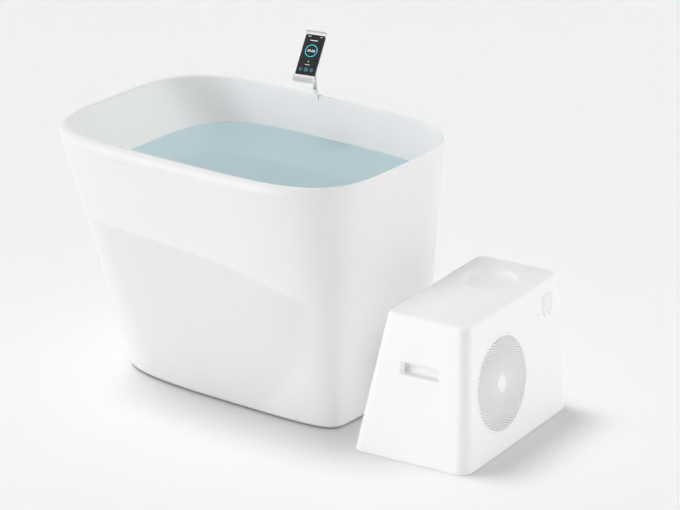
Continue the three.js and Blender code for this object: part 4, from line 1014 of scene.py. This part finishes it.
class PLUNGE_OT_handset(bpy.types.Operator):
    """Builds the handset with a plain display"""

    bl_idname = "plunge.handset"
    bl_label = "Handset"

    skin = 29.13
    film = 0.02

    def execute(self, context):
        *_, cradle = holder_frames(context)
        face = cradle @ at(0, 0, HANDSET_MIDDLE) @ UPRIGHT
        width, height, corner = 73, HANDSET_TOP - HANDSET_LOW, 11
        border = 1.6
        key_in, key_out, key_low, key_top = 36.2, 36.9, 23.5, 25.5
        body = plate(width, height, corner, 21.1, 27.8, 2.2)
        keys = [
            block(key_in, key_out, 18, 30, key_low, key_top),
            block(-key_out, -key_in, 22, 46, key_low, key_top),
        ]
        case = make("handset_case", moved(joined(body, *keys), face), black_nylon(), 40)
        settle(case, "cradle", ["handset_body"])
        glass = plate(width - 2 * border, height - 2 * border, corner - border, 28.2, 29.1, 0.4)
        cover = make("handset_cover_glass", moved(glass, face), cover_glass(), 40)
        settle(cover, "cradle", ["handset_glass"])
        context.view_layer.update()
        self.display(context, face)
        return {"FINISHED"}

    def display(self, context, face):
        """Flat lit shapes a hair above the glass: a ring, figures, a row of round keys and four lines."""
        low = self.skin - self.film
        glow = lit("display_ring", context.scene.plunge_holder.ring_colour, 0.7)
        pale = lit("display_text", linear("#D8E4E8"), 0.7)
        dim = lit("display_keys", linear("#2C5F6C"), 0.5)
        inner, outer = 19.5, 22.5
        ring = lathe([(inner, low), (outer, low), (outer, self.skin), (inner, self.skin)], 96, wrap=True)
        settle(make("display_ring_lit", moved(ring, face @ at(0, 16)), glow), "cradle")
        for k, (words, size, y) in enumerate((("05:00", 12.5, 11.5), ("4", 9.0, -26))):
            figures = self.figures(context, f"display_figures_{k}", words, size, face @ at(0, y, self.skin))
            figures.data.materials.append(pale)
            settle(figures, "cradle")
        keys = []
        for x, radius in ((-20, 6.5), (0, 8.0), (20, 6.5)):
            key = lathe([(0, low), (radius, low), (radius, self.skin), (0, self.skin)], 32)
            keys.append(moved(key, at(x, -52)))
        settle(make("display_keys_lit", moved(joined(*keys), face), dim), "cradle")
        spans = ((-26, -14, 66, 67.6), (20, 27, 66, 67.6), (-14, 14, 52, 54), (-9, 9, -35, -33.6))
        lines = [block(*span, low, self.skin) for span in spans]
        settle(make("display_lines_lit", moved(joined(*lines), face), pale), "cradle")

    def figures(self, context, name, words, size, place):
        """Plain figures as a mesh, with their place in the mesh."""
        curve = bpy.data.curves.new(name, "FONT")
        curve.body = words
        curve.size = size * MM
        curve.align_x = "CENTER"
        curve.extrude = self.film / 2 * MM
        holder = bpy.data.objects.new("figures", curve)
        context.collection.objects.link(holder)
        context.view_layer.update()
        graph = context.evaluated_depsgraph_get()
        mesh = bpy.data.meshes.new_from_object(holder.evaluated_get(graph))
        bpy.data.objects.remove(holder)
        mesh.transform(metre_frame(place))
        mesh.materials.clear()
        figures = bpy.data.objects.new(name, mesh)
        context.collection.objects.link(figures)
        return figures


# Chiller

LEANS = {"left": 84.0, "right": 43.0, "front": 68.0, "back": 8.0}
CHILLER_AT = (660, -343)
CLEARANCE = 0.3
CUT_DEPTH = 20
# Places on the faces as (along, height), and sizes as (width, height, corner).
GRIP_Z = 300
GRIP = (146, 45, 8)
GRILLE_AT = (260, 223)
PANEL_AT = (576, 386)
PANEL = (62, 62, 8)
LOUVRE_AT = (330, 200)
LOUVRE = (200, 176, 8)
SOCKET_AT = (300, 95)
SOCKET = (50, 30, 4)
UNION_Z = 95
LID_AT = (227, 489)
LID_RADIUS = 100


class ChillerForm:
    """The chiller's leaning casing in its own frame, in millimetres."""

    wall = 4.0
    top_round = 14.0
    corner_foot = 42.0
    corner_top = 34.0
    corner_steps = 12
    hem = 0.5

    def __init__(self, props):
        self.width = props.width / MM
        self.depth = props.depth / MM
        self.height = props.height / MM
        self.place = at(*CHILLER_AT) @ Matrix.Rotation(props.turn, 4, "Z")

    def edges(self, z, inset=0.0):
        share = z / self.height
        left = LEANS["left"] * share + inset
        right = self.width - LEANS["right"] * share - inset
        front = LEANS["front"] * share + inset
        back = self.depth - LEANS["back"] * share - inset
        return left, right, front, back, mix(self.corner_foot, self.corner_top, share) - inset

    def ring(self, z, inset):
        left, right, front, back, corner = self.edges(z, inset)
        outline = rounded_outline(right - left, back - front, corner, self.corner_steps)
        return [((left + right) / 2 + x, (front + back) / 2 + y, z) for x, y in outline]

    def rings(self, inset):
        radius = self.top_round - inset
        shoulder = self.height - self.top_round
        rows = [self.ring(self.hem, inset)]
        for a in quarter(ARC_STEPS):
            rows.append(self.ring(shoulder + radius * math.sin(a), self.top_round - radius * math.cos(a)))
        return rows

    def face(self, side, along, z):
        """A frame on a face: X along it, Y up it and Z out of it, in the part's frame."""
        left, right, front, back, _ = self.edges(z)
        spots = {"right": (right, along, 1, 0), "left": (left, along, -1, 0)}
        spots |= {"front": (along, front, 0, -1), "back": (along, back, 0, 1)}
        u, v, a, b = spots[side]
        slope = math.atan2(LEANS[side], self.height)
        out = Vector((a * math.cos(slope), b * math.cos(slope), math.sin(slope)))
        up = Vector((-a * math.sin(slope), -b * math.sin(slope), math.cos(slope)))
        turned = Matrix((up.cross(out), up, out)).transposed().to_4x4()
        return self.place @ at(u, v, z) @ turned

    def grip(self, side):
        left, right, *_ = self.edges(GRIP_Z)
        return self.face(side, (left + right) / 2, GRIP_Z)

    def lid(self):
        return self.place @ at(*LID_AT, self.height)


def opening(width, height, corner):
    """A cutter for a piece of a given size, with clearance all round."""
    slack = 2 * CLEARANCE
    return plate(width + slack, height + slack, corner + CLEARANCE, -CUT_DEPTH, CUT_DEPTH)


class PLUNGE_OT_casing(bpy.types.Operator):
    """Builds the chiller's casing with its openings"""

    bl_idname = "plunge.casing"
    bl_label = "Chiller casing"

    def execute(self, context):
        props = context.scene.plunge_chiller
        form = ChillerForm(props)
        proud = 0.4
        shell = loft(form.rings(form.wall)[::-1] + form.rings(proud))
        casing = make("casing_moulding", moved(shell, form.place), casing_abs(), 30)
        bore = props.grille_radius / MM + CLEARANCE
        fan = lathe([(0, -CUT_DEPTH), (bore, -CUT_DEPTH), (bore, CUT_DEPTH), (0, CUT_DEPTH)], 128)
        inner, outer = LID_RADIUS + 0.6, LID_RADIUS + 2.6
        mouth = [(0, -33), (inner, -33), (inner, -2.5), (outer, 0), (outer, 17), (0, 17)]
        carve(
            casing,
            moved(opening(*GRIP), form.grip("front")),
            moved(opening(*GRIP), form.grip("back")),
            moved(fan, form.face("right", *GRILLE_AT)),
            moved(opening(*PANEL), form.face("right", *PANEL_AT)),
            moved(opening(*LOUVRE), form.face("left", *LOUVRE_AT)),
            moved(opening(*SOCKET), form.face("back", *SOCKET_AT)),
            moved(lathe(mouth, 96), form.lid()),
        )
        settle(casing, TUB, ["casing"])
        return {"FINISHED"}


class PLUNGE_OT_grips(bpy.types.Operator):
    """Builds the hand cups in the front and rear faces"""

    bl_idname = "plunge.grips"
    bl_label = "Grip cups"

    def execute(self, context):
        form = ChillerForm(context.scene.plunge_chiller)
        width, height, corner = GRIP
        inner_corner = 5
        steps = [(0, -37), (0, -0.6), (0.3, 0), (2, 0), (2.7, -0.4), (3, -1.5), (3, -28), (4, -32), (7, -34)]
        rows = [(inset, max(corner - inset, inner_corner), z) for inset, z in steps]
        for side, node in (("front", "front_grip_cup"), ("back", "rear_grip_cup")):
            shape = moved(stepped(width, height, rows), form.grip(side))
            cup = make(f"{side}_grip_cup_moulding", shape, gloss_abs(), 35)
            settle(cup, TUB, [node])
        return {"FINISHED"}


def copies_about_axis(name, count):
    """A node tree that turns copies of a rib about Z, once as drawn and once mirrored."""
    tree = bpy.data.node_groups.new(name, "GeometryNodeTree")
    face = tree.interface
    face.new_socket("Geometry", in_out="INPUT", socket_type="NodeSocketGeometry")
    arms = face.new_socket("Arms", in_out="INPUT", socket_type="NodeSocketInt")
    arms.default_value = count
    face.new_socket("Finish", in_out="INPUT", socket_type="NodeSocketMaterial")
    face.new_socket("Geometry", in_out="OUTPUT", socket_type="NodeSocketGeometry")
    start = add(tree, "NodeGroupInput")
    rib = start.outputs["Geometry"]
    line = add(tree, "GeometryNodeMeshLine", {"Count": start.outputs["Arms"]}, mode="OFFSET")
    line.inputs["Offset"].default_value = (0, 0, 0)
    index = add(tree, "GeometryNodeInputIndex")
    step = add(tree, "ShaderNodeMath", {1: start.outputs["Arms"]}, operation="DIVIDE")
    step.inputs[0].default_value = TURN
    factors = {0: index.outputs["Index"], 1: step.outputs["Value"]}
    angle = add(tree, "ShaderNodeMath", factors, operation="MULTIPLY")
    turn = add(tree, "ShaderNodeCombineXYZ", {"Z": angle.outputs["Value"]})
    mirror = add(tree, "GeometryNodeTransform", {"Geometry": rib}, Scale=(1, -1, 1))
    outward = add(tree, "GeometryNodeFlipFaces", {"Mesh": mirror.outputs["Geometry"]})
    gather = add(tree, "GeometryNodeJoinGeometry")
    for instance in (rib, outward.outputs["Mesh"]):
        sockets = {"Points": line.outputs["Mesh"], "Instance": instance, "Rotation": turn.outputs["Vector"]}
        put = add(tree, "GeometryNodeInstanceOnPoints", sockets)
        tree.links.new(put.outputs["Instances"], gather.inputs["Geometry"])
    whole = add(tree, "GeometryNodeRealizeInstances", {"Geometry": gather.outputs["Geometry"]})
    finish = {"Geometry": whole.outputs["Geometry"], "Material": start.outputs["Finish"]}
    paint = add(tree, "GeometryNodeSetMaterial", finish)
    add(tree, "NodeGroupOutput", {"Geometry": paint.outputs["Geometry"]})
    return tree


def through_nodes(obj, tree, **values):
    """Runs a node tree on an object and leaves a plain mesh."""
    modifier = obj.modifiers.new("Repeat", "NODES")
    modifier.node_group = tree
    for item in tree.interface.items_tree:
        if item.item_type == "SOCKET" and item.in_out == "INPUT" and item.name in values:
            modifier[item.identifier] = values[item.name]
    return frozen(obj)


class PLUNGE_OT_grille(bpy.types.Operator):
    """Builds the round fan grille from crossing spiral ribs"""

    bl_idname = "plunge.grille"
    bl_label = "Fan grille"

    hub = 26.0
    border = 6.0
    spiral = 1.5
    rib_steps = 48
    rib_share = 0.17
    rib_least = 0.2
    rib_low = -5.6
    rib_top = -0.3

    def execute(self, context):
        props = context.scene.plunge_chiller
        radius = props.grille_radius / MM
        rim = radius - self.border
        place = ChillerForm(props).face("right", *GRILLE_AT)
        ribs = make("fan_grille_ribs", self.rib(rim, props.grille_arms), casing_abs(), 30)
        repair(ribs)
        tree = copies_about_axis("Turned grille ribs", props.grille_arms)
        through_nodes(ribs, tree, Arms=props.grille_arms, Finish=casing_abs())
        ribs.data.transform(metre_frame(place))
        mark_edges(ribs.data, 30)
        low = -4
        hub = [(0, low), (self.hub + 1, low), (self.hub + 1, -0.8), (self.hub, 0), (0, 0)]
        ring = [(rim - 1, low), (radius, low), (radius, -0.5), (radius - 0.5, 0), (rim - 0.5, 0)]
        ring.append((rim - 1, -0.5))
        discs = joined(lathe(hub), lathe(ring, 128, wrap=True))
        disc = make("fan_grille_frame", moved(discs, place), casing_abs(), 30)
        settle(ribs, TUB, ["fan_grille"])
        settle(disc, TUB)
        return {"FINISHED"}

    def rib(self, rim, arms):
        """One rib from the hub to the rim along a spiral that crosses every circle at the same angle."""
        verts = []
        for k in range(self.rib_steps + 1):
            into_hub = 0.99 if k == 0 else 1.0
            r = self.hub * (rim / self.hub) ** (k / self.rib_steps) * into_hub
            a = math.log(r / self.hub) * self.spiral
            half = TURN / arms * r / math.hypot(1, self.spiral) * self.rib_share + self.rib_least
            along = Vector((math.cos(a), math.sin(a)))
            tangent = Vector((-math.sin(a), math.cos(a)))
            lean = (tangent - along * self.spiral).normalized()
            one, two = along * r - lean * half, along * r + lean * half
            verts += [(*one, self.rib_low), (*two, self.rib_low), (*two, self.rib_top), (*one, self.rib_top)]
        faces = []
        for k in range(self.rib_steps):
            for j in range(4):
                a, b = 4 * k + j, 4 * k + (j + 1) % 4
                faces.append((a, a + 4, b + 4, b))
        end = 4 * self.rib_steps
        faces += [(0, 1, 2, 3), (end + 3, end + 2, end + 1, end)]
        return verts, faces


class PLUNGE_OT_lid(bpy.types.Operator):
    """Builds the dished filter lid"""

    bl_idname = "plunge.lid"
    bl_label = "Filter lid"

    def execute(self, context):
        form = ChillerForm(context.scene.plunge_chiller)
        edge, lip, dish_run, dish_depth = LID_RADIUS - 10.4, -1.6, 24, 13
        profile = [(0, -36), (61.6, -36), (61.6, -26), (72, -26), (LID_RADIUS - 2, -11), (LID_RADIUS, -9)]
        profile += [(LID_RADIUS, -1.2), (LID_RADIUS - 0.6, -0.3), (LID_RADIUS - 1.4, 0)]
        profile += [(LID_RADIUS - 7, 0), (LID_RADIUS - 8.6, -0.4), (edge, lip)]
        for t in shares(12):
            profile.append((edge - dish_run * t, lip - dish_depth * (1 - (1 - t) ** 2)))
        profile += [(45, -16.2), (25, -17.3), (0, -17.8)]
        shape = moved(lathe(profile, 128), form.lid())
        lid = make("filter_lid_moulding", shape, gloss_abs("lid_abs", "#F8F8F8"), 40)
        settle(lid, "filter_lid", ["filter_lid"])
        return {"FINISHED"}


class PLUNGE_OT_panel(bpy.types.Operator):
    """Builds the control bezel, its button and three indicator dots"""

    bl_idname = "plunge.panel"
    bl_label = "Control panel"

    def execute(self, context):
        form = ChillerForm(context.scene.plunge_chiller)
        place = form.face("right", *PANEL_AT)
        width, height, corner = PANEL
        rows = [(0, corner, -8), (0, corner, 1.2), (0.2, corner - 0.2, 1.7), (0.7, corner - 0.7, 2)]
        rows += [(4.7, 6, 2), (5.4, 5.4, 1.4), (5.7, 5.3, 0.6), (5.7, 5.3, -6.5)]
        shape = moved(stepped(width, height, rows), place)
        bezel = make("control_bezel_moulding", shape, gloss_abs(), 35)
        settle(bezel, TUB, ["control_bezel"])
        cap = moved(plate(width - 12, height - 12, 5, -4.2, 1.5, 0.8), place)
        button = make("power_button_cap", cap, gloss_abs("button_abs", "#F2F2F2"), 35)
        settle(button, "power_button", ["power_button"])
        lens = lathe([(0, -0.5), (2.6, -0.5), (2.6, 0.3), (2.0, 0.6), (0, 0.7)], 24)
        dots = [moved(lens, form.face("right", *spot)) for spot in ((510, 368), (558, 350), (588, 349))]
        dots = make("indicator_dots", joined(*dots), lit("indicator_lens", linear("#B4BEC2"), 0.02))
        settle(dots, TUB)
        return {"FINISHED"}


class PLUNGE_OT_connections(bpy.types.Operator):
    """Builds the unions on the rear face and the louvre on the tub side"""

    bl_idname = "plunge.connections"
    bl_label = "Unions and louvre"

    def execute(self, context):
        form = ChillerForm(context.scene.plunge_chiller)
        for name, along in (("water_inlet_union", 110), ("water_outlet_union", 190)):
            fitting = moved(self.union(), form.face("back", along, UNION_Z))
            settle(make(f"{name}_fitting", fitting, grey_pvc(), 35), TUB, [name])
        self.louvre(form.face("left", *LOUVRE_AT))
        return {"FINISHED"}

    def union(self):
        """A flange with a barbed spigot, bored through."""
        bore = 9
        profile = [(bore, -28), (13, -28), (13, 0.3), (18.6, 0.3), (19, 0.7), (19, 7.6)]
        profile += [(18.6, 8.3), (13, 8.3)]
        for z in (12, 18, 24):
            profile += [(12, z - 2), (13, z + 2.6), (12.4, z + 3)]
        profile += [(12, 28), (11.6, 30), (bore, 30)]
        return lathe(profile, 48, wrap=True)

    def louvre(self, place):
        """A plate with a column of slots cut through it."""
        width, height, _ = LOUVRE
        margin, count, slot = 14, 9, 9.8
        pitch = (height - 2 * margin) / count
        louvre = make("intake_louvre_frame", moved(plate(*LOUVRE, -4, 0, 0.5), place), casing_abs(), 35)
        slots = []
        for k in range(count):
            y = margin - height / 2 + pitch * (k + 0.5)
            slots.append(moved(plate(width - 2 * margin, slot, 2, -8, 4), place @ at(0, y)))
        carve(louvre, joined(*slots))
        settle(louvre, TUB, ["intake_louvre"])


class PLUNGE_OT_fittings(bpy.types.Operator):
    """Builds the water fittings through the foot end"""

    bl_idname = "plunge.fittings"
    bl_label = "Water fittings"

    def execute(self, context):
        form = TubForm(context.scene.plunge_tub)
        height = 170
        slope = math.atan2(form.foot(form.rim_z) - form.foot(0), form.rim_z)
        wall = at(form.foot(height), 0, height) @ Matrix.Rotation(slope, 4, "Y")
        back = 2 - form.well_foot * math.cos(slope) - CLEARANCE
        face = back - 6
        bore, thread, end = 12, 17, 36
        profile = [(bore, face), (27.5, face), (28.6, face + 0.5), (29, face + 1.6), (29, back)]
        profile += [(thread, back), (thread, end - 1), (thread - 0.6, end), (bore, end)]
        for name, y in (("suction", -37), ("return", 45)):
            shape = moved(lathe(profile, 48, wrap=True), wall @ at(0, y) @ ALONG_X)
            bulkhead = make(f"{name}_bulkhead_fitting", shape, grey_pvc(), 35)
            settle(bulkhead, TUB, [f"{name}_bulkhead"])
        return {"FINISHED"}


CHILLER_FEET = [f"foot_{end}_{side}" for end in ("front", "rear") for side in ("left", "right")]
NODE_FINISHES = {
    grey_pvc: ["suction_nut", "return_nut", "drain_elbow", "filter_canister"],
    black_rubber: ["compressor_mat", "pump_cradle", "lid_seal", *CHILLER_FEET],
    silicone: ["base_pad", "lower_pad", "upper_pad"],
    chrome_plate: ["drain_grate"],
    zinc_sheet: ["base_tray", "motor_bracket", "heat_exchanger", "control_upright"],
    satin_enamel: ["drain_lever", "fan_motor", "compressor"],
    black_nylon: ["fan_shroud", "fan_rotor", "water_pump", "control_box", "mains_inlet"],
    stamped_fins: ["condenser"],
    drawn_copper: ["discharge_line", "suction_line"],
    machined_brass: ["drain_valve"],
    rigid_foam: ["foam_insulation"],
    pleated_paper: ["filter_cartridge"],
    gloss_abs: ["suction_grate", "return_nozzle"],
}


class PLUNGE_OT_finishes(bpy.types.Operator):
    """Gives the solids that show as they are their finishes"""

    bl_idname = "plunge.finishes"
    bl_label = "Finishes of the plain solids"

    def execute(self, context):
        for finish, names in NODE_FINISHES.items():
            for name in names:
                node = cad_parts[name]
                node.data.materials.clear()
                node.data.materials.append(finish())
        return {"FINISHED"}


class PLUNGE_OT_stage(bpy.types.Operator):
    """Sets the floor, the lights and the camera"""

    bl_idname = "plunge.stage"
    bl_label = "Stage"

    def execute(self, context):
        props = context.scene.plunge_stage
        floor = self.floor(props)
        self.sky(context, props)
        self.lights(context, props, floor)
        self.camera(context)
        context.scene.view_settings.view_transform = "Standard"
        return {"FINISHED"}

    def floor(self, props):
        """A plain pale floor, lifted a little where the camera or a reflection sees it."""
        half, low, top, lift = 40000, -60, -0.5, 0.02
        material, tree, shader = blank("studio_floor")
        shader.inputs["Base Color"].default_value = (*props.floor_colour, 1)
        shader.inputs["Roughness"].default_value = 0.9
        shader.inputs["Emission Color"].default_value = (1, 1, 1, 1)
        path = add(tree, "ShaderNodeLightPath")
        rays = {0: path.outputs["Is Camera Ray"], 1: path.outputs["Is Glossy Ray"]}
        seen = add(tree, "ShaderNodeMath", rays, operation="ADD", use_clamp=True)
        glow = add(tree, "ShaderNodeMath", {0: seen.outputs["Value"]}, operation="MULTIPLY")
        glow.inputs[1].default_value = lift
        tree.links.new(glow.outputs["Value"], shader.inputs["Emission Strength"])
        floor = make("studio_floor", block(-half, half, -half, half, low, top), material)
        return floor

    def sky(self, context, props):
        """Even white light, with a backdrop of its own brightness where the camera sees it."""
        world = bpy.data.worlds.new("Studio")
        context.scene.world = world
        world.use_nodes = True
        tree = world.node_tree
        tree.nodes.clear()
        path = add(tree, "ShaderNodeLightPath")
        shown = add(
            tree,
            "ShaderNodeMapRange",
            {"Value": path.outputs["Is Camera Ray"]},
            To_Min=props.sky_strength,
            To_Max=props.backdrop_strength,
        )
        sky = add(tree, "ShaderNodeBackground", {"Strength": shown.outputs["Result"]}, Color=(1, 1, 1, 1))
        add(tree, "ShaderNodeOutputWorld", {"Surface": sky.outputs["Background"]})

    def lights(self, context, props, floor):
        """An overhead key, one like it for the floor alone, and two broad keys that miss the floor."""
        narrow, broad = 22, 40
        overhead = Vector((0.38, 0.0, -0.9))
        from_front = Vector((0.45, 0.85, -0.2))
        from_right = Vector((-0.75, -0.6, -0.2))
        self.key(context, "Top key", props.top_strength, overhead, narrow)
        below = self.key(context, "Floor key", props.floor_strength, overhead, narrow)
        front = self.key(context, "Front key", props.front_strength, from_front, broad)
        right = self.key(context, "Right key", props.right_strength, from_right, broad)
        right.data.use_shadow = False
        self.link(below, floor, "INCLUDE")
        self.link(front, floor, "EXCLUDE")
        self.link(right, floor, "EXCLUDE")

    def key(self, context, name, strength, aim, spread):
        """One broad soft light that shines along a direction."""
        lamp = bpy.data.lights.new(name, "SUN")
        lamp.energy = strength
        lamp.angle = math.radians(spread)
        obj = bpy.data.objects.new(name, lamp)
        obj.rotation_euler = aim.to_track_quat("-Z", "Y").to_euler()
        context.collection.objects.link(obj)
        return obj

    def link(self, light, floor, state):
        """Makes a light fall on the floor alone, or on everything but the floor."""
        receivers = bpy.data.collections.new(f"{light.name} receivers")
        receivers.objects.link(floor)
        receivers.collection_objects[0].light_linking.link_state = state
        light.light_linking.receiver_collection = receivers

    def camera(self, context):
        """A long lens far off, with its place fitted to the outlines in the photo."""
        photo_width, off_centre = 680, 1
        azimuth, elevation = math.radians(36.70408), math.radians(20.89951)
        lens = bpy.data.cameras.new("Photo camera")
        lens.sensor_width = 36
        lens.lens = 188.6
        lens.shift_x = off_centre / photo_width
        lens.clip_end = 200
        camera = bpy.data.objects.new("Photo camera", lens)
        turned = Matrix.Rotation(azimuth, 4, "Z") @ Matrix.Rotation(QUARTER - elevation, 4, "X")
        camera.matrix_world = at(6.8401, -8.6956, 4.6296) @ turned
        context.collection.objects.link(camera)
        context.scene.camera = camera


PROPERTY_GROUPS = {
    "plunge_tub": PlungeTubProps,
    "plunge_holder": PlungeHolderProps,
    "plunge_chiller": PlungeChillerProps,
    "plunge_stage": PlungeStageProps,
}
OPERATORS = [
    PLUNGE_OT_tub_shell,
    PLUNGE_OT_basin,
    PLUNGE_OT_water,
    PLUNGE_OT_rim_clip,
    PLUNGE_OT_cradle,
    PLUNGE_OT_handset,
    PLUNGE_OT_casing,
    PLUNGE_OT_grips,
    PLUNGE_OT_grille,
    PLUNGE_OT_lid,
    PLUNGE_OT_panel,
    PLUNGE_OT_connections,
    PLUNGE_OT_fittings,
    PLUNGE_OT_finishes,
    PLUNGE_OT_stage,
]


class PLUNGE_PT_sidebar(bpy.types.Panel):
    bl_idname = "PLUNGE_PT_sidebar"
    bl_label = "Plunge tub"
    bl_space_type = "VIEW_3D"
    bl_region_type = "UI"
    bl_category = "Plunge"

    def draw(self, context):
        for name in PROPERTY_GROUPS:
            box = self.layout.box()
            group = getattr(context.scene, name)
            for key in group.__annotations__:
                box.prop(group, key)
        for operator in OPERATORS:
            self.layout.operator(operator.bl_idname)


def register():
    for name, group in PROPERTY_GROUPS.items():
        bpy.utils.register_class(group)
        setattr(bpy.types.Scene, name, bpy.props.PointerProperty(type=group))
    for cls in (*OPERATORS, PLUNGE_PT_sidebar):
        bpy.utils.register_class(cls)


def unregister():
    for cls in reversed((*OPERATORS, PLUNGE_PT_sidebar)):
        bpy.utils.unregister_class(cls)
    for name, group in PROPERTY_GROUPS.items():
        delattr(bpy.types.Scene, name)
        bpy.utils.unregister_class(group)


def main():
    register()
    for operator in OPERATORS:
        family, name = operator.bl_idname.split(".")
        getattr(getattr(bpy.ops, family), name)()


if __name__ == "__main__":
    main()
